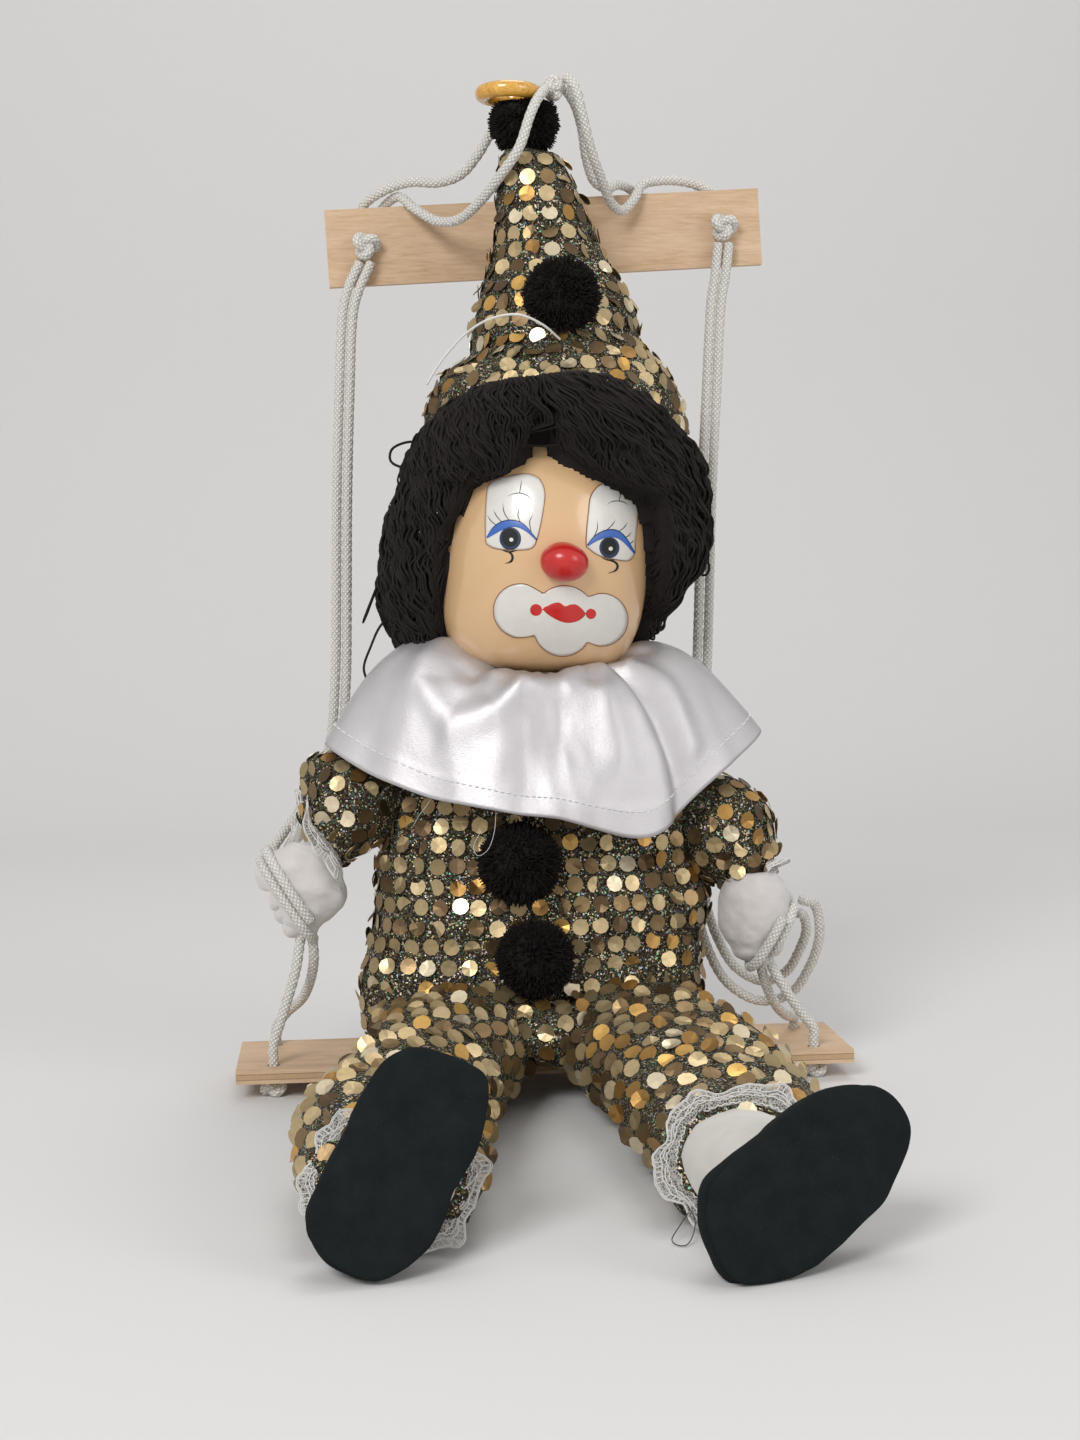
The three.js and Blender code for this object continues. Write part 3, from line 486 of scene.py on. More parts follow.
def basswoodLook(name, plies):
    look = Look(name, roughness=0.62, specularIorLevel=0.35)
    spot = look.place((1, 9, 9))
    streaks = look.noise(spot, 130, 5, 0.6, 0.4)
    broad = look.noise(look.place((0.7, 4, 4)), 22, 3, 0.5, 1.2)
    pores = look.noise(look.place((1, 22, 22)), 260, 2, 0.6)
    tone = look.ramp(streaks * 0.55 + broad * 0.45, [
        (0.30, (0.50, 0.33, 0.19)), (0.48, (0.64, 0.445, 0.285)), (0.68, (0.74, 0.54, 0.37)),
    ])
    tone = look.mix((pores < 0.36) * 0.35, tone, (0.42, 0.27, 0.15))
    if plies:
        height = look.split(look.place(), 2) * (1 / (4.5 * mm))
        middle = ((height - 0.5).size() < 0.2)
        line = ((height - 0.5).size() - 0.2).size() < 0.03
        normal = look.add("ShaderNodeNewGeometry", output="Normal")
        side = look.split(normal, 2).size() < 0.5
        endGrain = look.noise(look.place((1, 1, 3)), 900, 3)
        core = look.mix(endGrain, (0.38, 0.23, 0.12), (0.62, 0.43, 0.26))
        tone = look.mix(side * middle * 0.85, tone, core)
        tone = look.mix(side * line * 0.7, tone, (0.22, 0.12, 0.06))
    look.finish(baseColor=tone)
    return look.bump(streaks * 0.6 + pores * 0.6, 0.35, 0.0002)


def amberLook():
    look = Look("amber varnished wood", roughness=0.22, coatWeight=0.7, coatRoughness=0.08)
    grain = look.noise(look.place((1, 6, 1)), 260, 3, 0.6, 1.5)
    look.finish(baseColor=look.ramp(grain, [
        (0.30, (0.50, 0.21, 0.02)), (0.5, (0.74, 0.38, 0.05)), (0.72, (0.86, 0.52, 0.10)),
    ]))
    return look.bump(grain, 0.08, 0.0002)


def glitterLook():  # black knit with a bright metal thread running through it
    look = Look("black glitter knit", specularIorLevel=0.12)
    spot = look.place()
    wander = look.add("ShaderNodeVectorMath", {"operation": "MULTIPLY_ADD"}, {
        0: look.add("ShaderNodeTexNoise", None, {"Vector": spot, "Scale": 900}, 1),
        1: (0.0011, 0.0011, 0.0011), 2: spot,
    })
    pick = look.cells(wander, 2100, output=1)
    chance = look.split(pick, 0)
    other = look.split(pick, 1)
    threads = (look.noise(wander, 1500, 2, 0.5, 2.2) - 0.5).size() < 0.028
    spark = chance > 0.89
    silver = spark.math("MAXIMUM", spark, threads * (other > 0.5) * 0.6)
    hue = look.ramp(other, [
        (0.0, (0.80, 0.78, 0.70)), (0.34, (0.70, 0.58, 0.38)), (0.62, (0.56, 0.36, 0.15)),
        (0.84, (0.20, 0.66, 0.40)), (0.91, (0.60, 0.28, 0.50)), (0.96, (0.30, 0.48, 0.70)),
    ])
    ground = look.mix(look.noise(spot, 800, 2), (0.007, 0.005, 0.004), (0.052, 0.034, 0.018))
    look.finish(
        baseColor=look.mix(silver, ground, hue),
        metallic=silver * 0.45,
        roughness=look.spread(silver, 0.85, 0.3),
    )
    return look.bump(look.cells(wander, 1650) + look.noise(spot, 700, 3) * 0.6, 0.6, 0.0004)


def sequinLook():
    look = Look("sequin foil", metallic=0.8, roughness=0.34)
    tone = look.add("ShaderNodeAttribute", {"attribute_name": "tone"})
    spot = look.place()
    scuff = look.noise(spot, 700, 4, 0.7)
    look.finish(
        baseColor=look.mix(scuff * 0.8, tone, look.mix(0.55, tone, (0.12, 0.085, 0.05))),
        roughness=look.spread(look.noise(spot, 260, 2), 0.26, 0.5),
    )
    return look.bump(look.noise(spot, 420, 3, 0.6), 0.18, 0.0004)


def reliefShadedLook(name, colour, dark, grain, bump, **finish):  # one colour, with painted shade in its hollows: darker where its bump is low
    look = Look(name, **finish)
    reliefAndShade = look.noise(look.place(), *grain)
    look.finish(baseColor=look.mix(reliefAndShade, tuple(c * dark for c in colour), colour))
    return look.bump(reliefAndShade, *bump)


def yarnLook(name, scale, colour):
    # its hollows get strong painted shade, down to 0.15 of its colour
    return reliefShadedLook(name, colour, 0.15, (scale, 4, 0.7), (0.9, 0.0006),
                       roughness=0.75, specularIorLevel=0.22)


def threadLook(name, colour):
    return reliefShadedLook(name, colour, 0.7, (2600, 2), (0.4, 0.0002),
                       roughness=0.75, sheenWeight=0.3)


def paintLook(name, colour, gloss=0.3, coat=0.4):
    return reliefShadedLook(name, colour, 0.88, (340, 3), (0.06, 0.0003),
                       roughness=gloss, coatWeight=coat, coatRoughness=0.12)


def cottonLook():
    look = Look("black cotton cloth", roughness=0.95, specularIorLevel=0.1)
    spot = look.place()
    warp = (look.split(spot, 0) * 9000).sine()
    weft = (look.split(spot, 2) * 9000 + look.split(spot, 1) * 3000).sine()
    weave = warp * weft
    cloud = look.noise(spot, 160, 4, 0.6)
    lint = look.noise(look.place(turn=(0.4, 0.2, 0.9)), 1500, 2, 0.8) > 0.73
    tone = look.mix(cloud, (0.006, 0.008, 0.009), (0.017, 0.021, 0.022))
    look.finish(baseColor=look.mix(lint * 0.35, tone, (0.10, 0.11, 0.11)))
    return look.bump(weave * 0.4 + cloud, 0.35, 0.0003)


def satinLook():
    look = Look("white satin", roughness=0.4, metallic=0.5, specularIorLevel=0.5)
    spot = look.place()
    weave = look.noise(look.place((1, 1, 4)), 1000, 3, 0.75)
    cloud = look.noise(spot, 60, 3)
    grain = weave * 0.35 + cloud * 0.65
    look.finish(
        baseColor=look.mix(grain, (0.47, 0.45, 0.46), (0.64, 0.62, 0.63)),
        roughness=look.spread(grain, 0.31, 0.44),
    )
    return look.bump(weave * 0.7 + look.noise(spot, 220, 4) * 0.5, 0.33, 0.0004)


def feltLook(name, low, high):
    look = Look(name, roughness=0.95, sheenWeight=0.5, specularIorLevel=0.2)
    spot = look.place()
    fuzz = look.noise(spot, 1400, 5, 0.75)
    cloud = look.noise(spot, 120, 3)
    look.finish(baseColor=look.mix(cloud * 0.6 + fuzz * 0.4, low, high))
    return look.bump(fuzz + cloud * 0.4, 0.45, 0.0004)


def netLook():  # the fine see-through ground of the lace
    look = Look("white lace net", roughness=0.8, specularIorLevel=0.1)
    spot = look.place()
    net = look.cells(spot, 1300, "DISTANCE_TO_EDGE") < 0.09
    tone = look.mix(look.noise(spot, 1800, 2), (0.70, 0.68, 0.65), (0.86, 0.84, 0.81))
    look.finish(baseColor=tone, alpha=look.spread(net, 0.07, 0.5))
    return look


def glazeLook():
    look = Look("tan glaze", roughness=0.24, coatWeight=0.55, coatRoughness=0.1)
    spot = look.place()
    cloud = look.noise(spot, 26, 3)
    specks = look.noise(spot, 900, 2, 0.5) > 0.74
    tone = look.mix(cloud, (0.69, 0.435, 0.225), (0.77, 0.51, 0.28))
    look.finish(baseColor=look.mix(specks * 0.22, tone, (0.42, 0.22, 0.10)))
    return look.bump(look.noise(spot, 45, 3), 0.05, 0.0008)


looks = {
    "cord": cordLook(),
    "bar": basswoodLook("bar basswood", False),
    "seat": basswoodLook("seat plywood", True),
    "amber": amberLook(),
    "glitter": glitterLook(),
    "sequin": sequinLook(),
    "yarn": yarnLook("black wig yarn", 2600, (0.034, 0.027, 0.025)),
    "fluff": yarnLook("black pompom yarn", 1700, (0.016, 0.011, 0.010)),
    "cotton": cottonLook(),
    "satin": satinLook(),
    "felt": feltLook("white felt", (0.60, 0.56, 0.54), (0.78, 0.74, 0.72)),
    "sock": feltLook("white sock knit", (0.58, 0.55, 0.50), (0.74, 0.71, 0.66)),
    "lace": threadLook("white lace thread", (0.88, 0.86, 0.83)),
    "net": netLook(),
    "blackThread": threadLook("black thread", (0.02, 0.02, 0.022)),
    "clearThread": threadLook("pale sewing thread", (0.72, 0.70, 0.68)),
    "stitch": threadLook("white sewing thread", (0.97, 0.96, 0.95)),
    "glaze": glazeLook(),
    "white": paintLook("white face paint", (0.80, 0.77, 0.72)),
    "red": paintLook("red face paint", (0.62, 0.012, 0.010), 0.2),
    "noseRed": paintLook("red nose glaze", (0.60, 0.014, 0.012), 0.3, 0.3),
    "blue": paintLook("blue lid paint", (0.03, 0.13, 0.50)),
    "iris": paintLook("dark blue iris paint", (0.006, 0.024, 0.075), 0.4, 0.1),
    "ink": paintLook("black face paint", (0.002, 0.002, 0.003), 0.7, 0),
    "outline": paintLook("brown outline paint", (0.24, 0.09, 0.03)),
}
print("materials made")


# Cords: the same points as in the part's source

cordKit = {
    "diameter": 3.2,
    "step": 0.5,  # between the rings of a cord's mesh
    "spacing": 3.6,  # between two cords that share a hole
    "seatHole": (89.5, 16),
    "barHoles": {"left": (-53.222, 42, 277.467), "right": (71.622, 42, 283.733)},
    "seatKnot": (9.2, 5.2),  # width and depth
    "seatKnotZ": -2.9,
    "barKnot": (10.4, 6.4),
    "barKnotGap": 5.1,
    "barKnotDrop": 5.7,  # where the ropes leave it, below the hole
    "barStem": 4.4,
    "stemTop": (3.9, 6.7, 2.7),  # behind the hole, and two heights above it
    "handTurns": 1.4,
    "handHold": 0.9,  # its share of a cord's radius is how far the turns' middle stays off the felt
    "ringKnots": [  # middle, width and depth, direction
        ((9.9, 10, 324.8), (8, 6.6), (-0.3, 1, 0.4)), ((10.4, 9.4, 326), (6.4, 5.4), (0.6, 0, 1)),
    ],
}


def stemTop(side, offset):
    x, y, z = cordKit["barHoles"][side]
    behind, *heights = cordKit["stemTop"]
    return [(x + offset, y + behind, z + height) for height in heights]


def knotFoot(side, offset):
    x, y, z = cordKit["barHoles"][side]
    return (x + offset, y - cordKit["barKnotGap"], z - cordKit["barKnotDrop"])


def seatEnd(side, end, heights=(10.5, 7, 3.5, 0)):
    x, y = cordKit["seatHole"]
    return [(side * x, end * y, z) for z in heights]


half = cordKit["spacing"] / 2
ringCords = {
    "left_front": [
        (6.9, 5.7, 324), (3.4, 0, 319), (0.6, -3.4, 313), (-3.2, -3.8, 302.5), (-9, 1.2, 294.6),
        (-15, 10, 288), (-22.2, 22, 283.6), (-29, 29.6, 284.5), (-36.5, 35.4, 289.8),
        (-41.6, 41.4, 294.8), (-46.6, 46.4, 292.2), *stemTop("left", half),
    ],
    "left_back": [
        (8.6, 14.2, 326.6), (3, 23.5, 326), (-3.5, 28.4, 321.2), (-9.6, 29.4, 314.6),
        (-14.5, 30.5, 306.9), (-20.6, 32.5, 300.5), (-28, 34.6, 298.4), (-38, 37.6, 299),
        (-47.5, 41.6, 296.4), (-54, 46.2, 292), *stemTop("left", -half),
    ],
    "right_front": [
        (13.6, 7.4, 328.4), (16.6, 6, 324.4), (19, 7, 316), (22.4, 12, 305.2), (27.2, 20, 295.6),
        (31.2, 28, 290), (35.4, 33, 288.6), (39.6, 35.8, 292.4), (43.6, 39.6, 298.6),
        (50, 43, 300.6), (57.5, 45.4, 301), (65, 47.2, 299.4), (71.6, 47.4, 294.6),
        *stemTop("right", half),
    ],
    "right_back": [
        (14, 13.6, 325.8), (17.8, 18.4, 321.5), (20.8, 24, 314.5), (22.6, 28, 305.5),
        (25.6, 31.4, 298.4), (30.4, 34.6, 296.4), (34.6, 38.6, 298.4), (38.6, 42.4, 298.2),
        (43.4, 46.8, 296), (55, 47.6, 294.8), (63, 47.5, 293.6), *stemTop("right", -half),
    ],
}
ropes = {
    "left_front_upper": [
        knotFoot("left", -2.3), (-59.6, 36.6, 263), (-61.6, 36, 255), (-63.6, 33, 224.3),
        (-65.1, 29, 189.8), (-66, 25.5, 155.6), (-67, 23, 128), (-69.5, 20.5, 106),
        (-76, 16.5, 90), (-84, 11, 79.5), (-89.6, 3.4, 71.6), (-90.4, -3.6, 66.4),
    ],
    "left_back_upper": [
        knotFoot("left", 1.6), (-56, 36.6, 262), (-58, 36, 255), (-60, 33, 224.3),
        (-61.5, 29, 189.8), (-62.4, 25.5, 155.6), (-63.3, 23.4, 128), (-65.6, 21.8, 106),
        (-72.4, 17.4, 87.6), (-80.2, 12, 76.6), (-85.6, 5, 69), (-87, -0.6, 64.6),
    ],
    "left_front_lower": [
        (-79, -16.6, 51), (-80, -17, 45.2), (-81.6, -17.2, 36), (-85.2, -16.6, 24),
        *seatEnd(-1, -1),
    ],
    "left_back_lower": [
        (-76.6, -15.6, 50), (-75.8, -15.4, 43), (-76, -11.6, 36), (-79.6, 0, 24), (-86, 12, 16),
        *seatEnd(-1, 1),
    ],
    "right_front_upper": [
        knotFoot("right", -2), (68.2, 36.6, 266), (66.8, 36, 258.3), (64, 33, 223.2),
        (61.2, 28.6, 188.2), (59.3, 25, 153.6), (58, 23.4, 128), (56.8, 21.6, 104), (55.4, 20, 84),
        (54.6, 18.4, 66), (55.4, 16, 48.6), (59, 13.4, 33.6), (65.4, 11, 21.8), (76.1, 9, 15.6),
        (86.4, 7, 18), (93, 4, 28.4), (95.4, 0.6, 39.1), (93, -3.8, 50), (87.4, -8.6, 52.6),
    ],
    "right_back_upper": [
        knotFoot("right", 1.8), (71.9, 36.6, 266), (70.4, 36, 258.2), (67.6, 33, 223.2),
        (64.8, 28.6, 188.2), (62.9, 25, 153.5), (61.6, 23.6, 128), (60.4, 22.2, 104), (59, 21, 84),
        (58.2, 19.4, 66), (59, 17, 50), (62.6, 14.2, 37), (68.4, 11.6, 27), (77.4, 8.6, 22.4),
        (84.8, 5.6, 26), (88.6, 2, 33.6), (90.4, -1.6, 41.3), (88.6, -5, 47), (86, -8.4, 48.2),
    ],
    "right_front_lower": [
        (72.6, -16.4, 39), (74.6, -16.4, 33.6), (80.4, -16.4, 23.4), (85.6, -16, 15.6),
        *seatEnd(1, -1),
    ],
    "right_back_lower": [
        (70.8, -15.8, 38), (71.8, -15.4, 32.6), (75, -11, 23.6), (79.8, -4, 15.6), (84.6, 4, 11),
        (87.8, 11, 9.4), *seatEnd(1, 1, (7, 3.5, 0)),
    ],
}


def loftPoint(shape, u, v):  # a point on a stuffed shape, u round it and v along it
    start, end = shape.get("caps", (0, 0))
    length = shape["length"]
    walk = v * (start + length + end) - start
    share = clamp(walk / length)
    x, y, z, a, b = curveAt(shape["stations"], share)
    centre = Vector((x, y, z))
    shrink = 1
    if walk < 0 or walk > length:
        cap = -start if walk < 0 else end
        angle = pi / 2 * (walk / cap if walk < 0 else (walk - length) / cap)
        near = Vector(curveAt(shape["stations"], max(0, share - 0.02))[:3])
        far = Vector(curveAt(shape["stations"], min(1, share + 0.02))[:3])
        centre += (far - near).normalized() * cap * sin(angle)
        shrink = cos(angle)
    turn = tau * u
    exponent = 2 / shape.get("square", 2)
    folds = shape["folds"](u, v) if "folds" in shape else 0
    return (centre + shape["across"] * (a + folds) * shrink * power(cos(turn), exponent)
            + shape["up"] * (b + folds) * shrink * power(sin(turn), exponent))


def makeShape(stations, across, up=None, **more):
    ends = Vector(stations[-1][:3]) - Vector(stations[0][:3])
    return {
        "stations": stations, "across": across, "up": up or ends.cross(across).normalized(),
        "length": routeLength([s[:3] for s in stations]), **more,
    }


def loft(bm, shape, columns=72, rows=48):
    wrap(bm, columns, rows, lambda u, v: loftPoint(shape, u, v))


def crumple(bm, *layers):  # moves the surface in and out by soft noise: (size in mm, depth in mm)
    bm.normal_update()
    for vert in bm.verts:
        depth = sum(noise.noise(vert.co / size + Vector((size, 7, 3))) * height
                    for size, height in layers)
        vert.co += vert.normal * depth


# Arms: where the sleeves and the mitten hands go

arms = {
    "left": {
        "side": -1,
        "shoulder": (-50, 0, 95),
        "sleeve": [
            (-47, 0.5, 96, 12, 12), (-53, 0.5, 94.5, 15, 15), (-60, -2, 92, 17.8, 17),
            (-65.5, -5.5, 88.5, 17.4, 17), (-69.6, -9, 82, 12.8, 12.5),
            (-72, -11, 76.4, 8.8, 8.8),
        ],
        "hand": [
            (-74.5, -11.8, 73.5, 9, 8), (-77.6, -13.2, 69, 12.8, 9.4), (-78.8, -14.4, 63, 14.4, 10),
            (-79.8, -15.2, 56.5, 10.8, 8.4), (-80.2, -16, 51.2, 6.6, 6),
        ],
        "thumb": [
            (-88, -11, 72.5, 3.6, 3.6), (-90.8, -12, 68, 3.9, 3.8), (-90, -13, 63.5, 3.2, 3.2)],
        "lumps": [
            ((-87.4, -15.5, 58), 3.2), ((-85.6, -16.4, 54.2), 2.8), ((-81.8, -16.4, 50.2), 3.2)],
        "wrapAt": (-85, -15, 63.4),
        "wrapNormal": (0.87, 0, 0.49),
    },
    "right": {
        "side": 1,
        "shoulder": (50, 0, 90),
        "sleeve": [
            (47, 0.5, 87.5, 12, 12), (53, 0.5, 85, 14.6, 15), (58.5, -1.5, 80, 16.2, 16.5),
            (64, -5, 73.4, 17.2, 16.5), (68.4, -9, 66.5, 13.2, 12.5), (70, -12, 62, 8.8, 8.8),
        ],
        "hand": [
            (71.2, -12.8, 61, 9, 8), (70.6, -13.8, 56.5, 12, 9.4), (69.8, -14.8, 49.5, 12.2, 10),
            (69, -15.6, 42, 9.8, 8.6), (68.4, -16.2, 36.8, 6.4, 5.8),
        ],
        "thumb": [
            (78.6, -11, 58.4, 3.6, 3.6), (80.6, -11.6, 54.6, 4, 3.8), (80, -12.4, 50.4, 3.2, 3.2)],
        "lumps": [((76, -16.2, 38.4), 3.9), ((72.4, -16.8, 35), 3.6)],
        "wrapAt": (76.8, -15, 43),
        "wrapNormal": (-0.83, 0, 0.55),
    },
}


def handShape(arm, grow=0):
    wrist, palm = Vector(arm["hand"][0][:3]), Vector(arm["hand"][2][:3])
    along = (palm - wrist).normalized()
    thick = (back - along * along.y).normalized()
    stations = [(x, y, z, a + grow, b + grow) for x, y, z, a, b in arm["hand"]]
    return makeShape(stations, thick.cross(along), thick, caps=(1.5, 3.6))


# Knots and the turns of cord round the hands

def braid(u, along):  # how far a plaited cord's surface stands out, in mm
    left = 4 * u + along / 2.9
    right = 4 * u - along / 2.9
    over = (floor(left) + floor(right)) % 2
    heights = abs(sin(pi * left)), abs(sin(pi * right))
    return 0.34 * (max(heights[0] * (1, 0.5)[over], heights[1] * (0.5, 1)[over]) - 0.62)


def braidedTube(bm, points, diameter=None):
    diameter = diameter or cordKit["diameter"]
    tube(bm, points, diameter / 2, sides=20, relief=braid)


def knot(bm, centre, size, ahead):  # cord tied in a trefoil that faces ahead
    side = ahead.orthogonal().normalized()
    other = ahead.cross(side)
    reach, swell = ((s - cordKit["diameter"]) / 2 for s in size)
    braidedTube(bm, [
        Vector(centre) + side * reach * (sin(a) + 2 * sin(2 * a)) / 2.9
        + other * reach * (cos(a) - 2 * cos(2 * a)) / 2.9 - ahead * swell * sin(3 * a)
        for a in (tau * i / 72 for i in range(73))])


def tieOff(name, bm):
    makePiece(f"{name}_tied", bm, looks["cord"], "swing", "white_cord", [name])


def makeKnots():
    for side, at in cordKit["barHoles"].items():
        hole = Vector(at)
        bm = bmesh.new()
        knot(bm, hole - back * cordKit["barKnotGap"], cordKit["barKnot"], back)
        stem = route([hole + back * y for y in (-5, -2, 1, 4.2)], cordKit["step"])
        braidedTube(bm, stem, cordKit["barStem"])
        tieOff(f"bar_knot_{side}", bm)
    x, y = cordKit["seatHole"]
    for side, sign in (("left", -1), ("right", 1)):
        for end, turn in (("front", -1), ("back", 1)):
            bm = bmesh.new()
            knot(bm, (sign * x, turn * y, cordKit["seatKnotZ"]), cordKit["seatKnot"], up)
            tieOff(f"seat_knot_{side}_{end}", bm)
    bm = bmesh.new()
    for centre, size, ahead in cordKit["ringKnots"]:
        knot(bm, centre, size, Vector(ahead).normalized())
    tieOff("ring_knot", bm)


makeKnots()


def wrapHand(name, body, arm, turns):  # the rope's turns round a hand, drawn tight on the felt
    bm = bmesh.new()
    loft(bm, handShape(arm), 40, 28)
    tree = BVHTree.FromBMesh(bm)
    at, normal = Vector(arm["wrapAt"]), Vector(arm["wrapNormal"]).normalized()
    cuts = [e for e in bm.edges
            if (e.verts[0].co - at).dot(normal) * (e.verts[1].co - at).dot(normal) < 0]
    middle = sum(((e.verts[0].co + e.verts[1].co) / 2 for e in cuts), Vector()) / len(cuts)
    middle -= normal * (middle - at).dot(normal)
    bm.free()
    side = normal.cross(back).normalized()
    other = normal.cross(side)
    half, parts = cordKit["diameter"] / 2, 96
    path = []
    for i in range(round(parts * turns) + 1):
        angle = tau * i / parts
        outward = side * cos(angle) + other * sin(angle)
        centre = middle + normal * cordKit["diameter"] * (i / parts - turns / 2)
        hit = tree.ray_cast(centre + outward * 40, -outward)[0]
        if hit:
            path.append(hit + outward * half * cordKit["handHold"])
    bm = bmesh.new()
    braidedTube(bm, route(path[::6], cordKit["step"]))
    return makePiece(f"{name}_turns", bm, looks["cord"], body, "white_cord", [name])


for side, arm in arms.items():
    name = f"{side}_hand_wrap"
    wrapHand(name, f"{side}_arm", arm, cordKit["handTurns"])


# The cords themselves

def makeCord(name, points, node, body, diameter=None, withPieces=()):
    size = diameter or cordKit["diameter"]
    path = route(points, cordKit["step"])
    bm = bmesh.new()
    if diameter:
        tube(bm, path, size / 2, sides=8)
    else:
        braidedTube(bm, path)
    look = looks["lace" if diameter else "cord"]
    piece = makePiece(name, bm, look, body, "white_cord", [node])
    tuple(path[0] * mm)
    routeLength(path) * mm
    [tuple(p * mm) for p in path]
    return piece


for name, points in ringCords.items():
    makeCord(f"ring_cord_{name}_braid", points, f"ring_cord_{name}", "swing",
             withPieces=["ring_knot"] if name == "left_front" else [])
for name, points in ropes.items():
    side, end, part = name.split("_")
    held = [f"{side}_hand_wrap"] if (end, part) == ("front", "upper") else []
    rope = makeCord(f"rope_{name}_braid", points, f"rope_{name}", None, withPieces=held)
    near, far = tuple(Vector(points[0]) * mm), tuple(Vector(points[-1]) * mm)
    if part == "upper":
        tuple(Vector(points[6]) * mm)
        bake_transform(rope)
        tuple(far)
    else:
        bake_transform(rope)
        tuple(near)
        tuple(far)
makeCord("hat_thread_strand", [
    (7.1, -26, 237.6), (1.2, -30.2, 241.8), (-6.6, -32, 244.8), (-15.5, -27.4, 244),
    (-22.1, -22.6, 240.6), (-27, -19.4, 236.2), (-31.6, -17.6, 230.6), (-35.4, -16.4, 224.6),
], "hat_thread", "head", diameter=0.8)
print("cords made")


# Wooden parts

for node, look in (("seat_board", "seat"), ("hanger_bar", "bar")):
    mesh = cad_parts[node].data
    mesh.materials.clear()
    mesh.materials.append(looks[look].material)

ring = {"centre": (-5.4, 10, 323), "radius": 8.4, "section": 2.6, "roundness": 0.9}


def makeRing():
    def around(u, v):
        a, b = tau * u, tau * v
        out, rise = (ring["section"] * power(part(b), ring["roundness"]) for part in (cos, sin))
        reach = ring["radius"] + out
        return Vector(ring["centre"]) + Vector((reach * cos(a), reach * sin(a), rise))

    bm = bmesh.new()
    wrap(bm, 96, 28, around, fillEnds=False)
    makePiece("hanging_ring_turned", bm, looks["amber"], "ring", "amber_wood", ["hanging_ring"])


makeRing()
print("wood and ring made")


# Sequins

sequin = {
    "radius": 2.75,
    "pitch": 6.5,
    "thickness": 0.13,
    "shake": 0.08,  # how far each is from its place, in pitches
    "missing": 0.05,
    "reach": 6,  # the furthest a place may be from the cloth
    "tilt": (2, 21),  # degrees off the cloth
    "propped": (16, 44),  # on the legs they stand leaning towards the feet
    "lift": (0.2, 1.3),  # flat, and on edge
    "tones": [
        (0.34, (0.64, 0.50, 0.28)), (0.16, (0.50, 0.38, 0.20)), (0.16, (0.27, 0.18, 0.085)),
        (0.10, (0.42, 0.23, 0.06)), (0.05, (0.74, 0.44, 0.12)), (0.12, (0.12, 0.075, 0.035)),
        (0.07, (0.88, 0.76, 0.54)),
    ],
}


def sequinTemplate(cup, fold, foldAt, crush):
    bm = bmesh.new()
    bmesh.ops.create_circle(bm, cap_ends=True, segments=10, radius=sequin["radius"])
    bmesh.ops.inset_region(bm, faces=bm.faces[:], thickness=1.25, use_even_offset=True)
    inner = min(bm.faces, key=lambda f: f.calc_center_median().length)
    centre = bmesh.ops.poke(bm, faces=[inner])["verts"][0]
    for vert in bm.verts:
        reach = vert.co.xy.length / sequin["radius"]
        vert.co.z = cup * reach * reach
        if vert.co.x > foldAt:
            vert.co.z += (vert.co.x - foldAt) * tan(fold)
        if reach > 0.9:
            vert.co.z += random.uniform(-crush, crush)
    centre.co.z -= 0.03
    bmesh.ops.solidify(bm, geom=bm.faces[:], thickness=sequin["thickness"])
    bmesh.ops.recalc_face_normals(bm, faces=bm.faces)
    return toMesh("sequin", bm)


sequinTemplates = [
    sequinTemplate(0.08, 0, 0, 0.03), sequinTemplate(0.15, 0, 0, 0.05),
    sequinTemplate(0.1, 0.12, 0.6, 0.06), sequinTemplate(0.12, -0.1, 0.9, 0.05),
    sequinTemplate(0.1, 0.5, 1.4, 0.1), sequinTemplate(0.12, -0.45, -0.3, 0.12),
    sequinTemplate(0.2, 0.4, -0.6, 0.25),
]


def pickTone():
    chance = random.random()
    for share, tone in sequin["tones"]:
        if chance < share:
            break
        chance -= share
    shade = random.uniform(0.82, 1.12)
    return tuple(min(0.95, c * shade) for c in tone)


def sewnPlaces(shape, columns, pitch):  # places in even rows round a shape, a little shaken
    long, wide, shake = 80, 36, sequin["shake"]
    sides = [[loftPoint(shape, u, i / long) for i in range(long + 1)] for u in (0, 0.25, 0.5, 0.75)]
    steps = [sum((side[i + 1] - side[i]).length for side in sides) / 4 for i in range(long)]
    heights = [sum(steps[:i]) for i in range(long + 1)]
    rowCount = max(2, round(heights[-1] / pitch))
    for row in range(1, rowCount):
        goal = heights[-1] * row / rowCount
        i = max(j for j in range(long) if heights[j] <= goal)
        v = (i + (goal - heights[i]) / steps[i]) / long
        loop = [loftPoint(shape, i / wide, v) for i in range(wide + 1)]
        around, walked = routeLength(loop), walkedAlong(loop)
        count = columns or round(around / sequin["pitch"])
        for column in range(count):
            stagger = 0 if columns else (row % 2) / 2
            goal = around * ((column + stagger + random.uniform(-shake, shake)) / count % 1)
            i = max(j for j in range(wide) if walked[j] <= goal)
            u = (i + (goal - walked[i]) / max(1e-6, walked[i + 1] - walked[i])) / wide
            yield loftPoint(shape, u, v + random.uniform(-shake, shake) / rowCount)


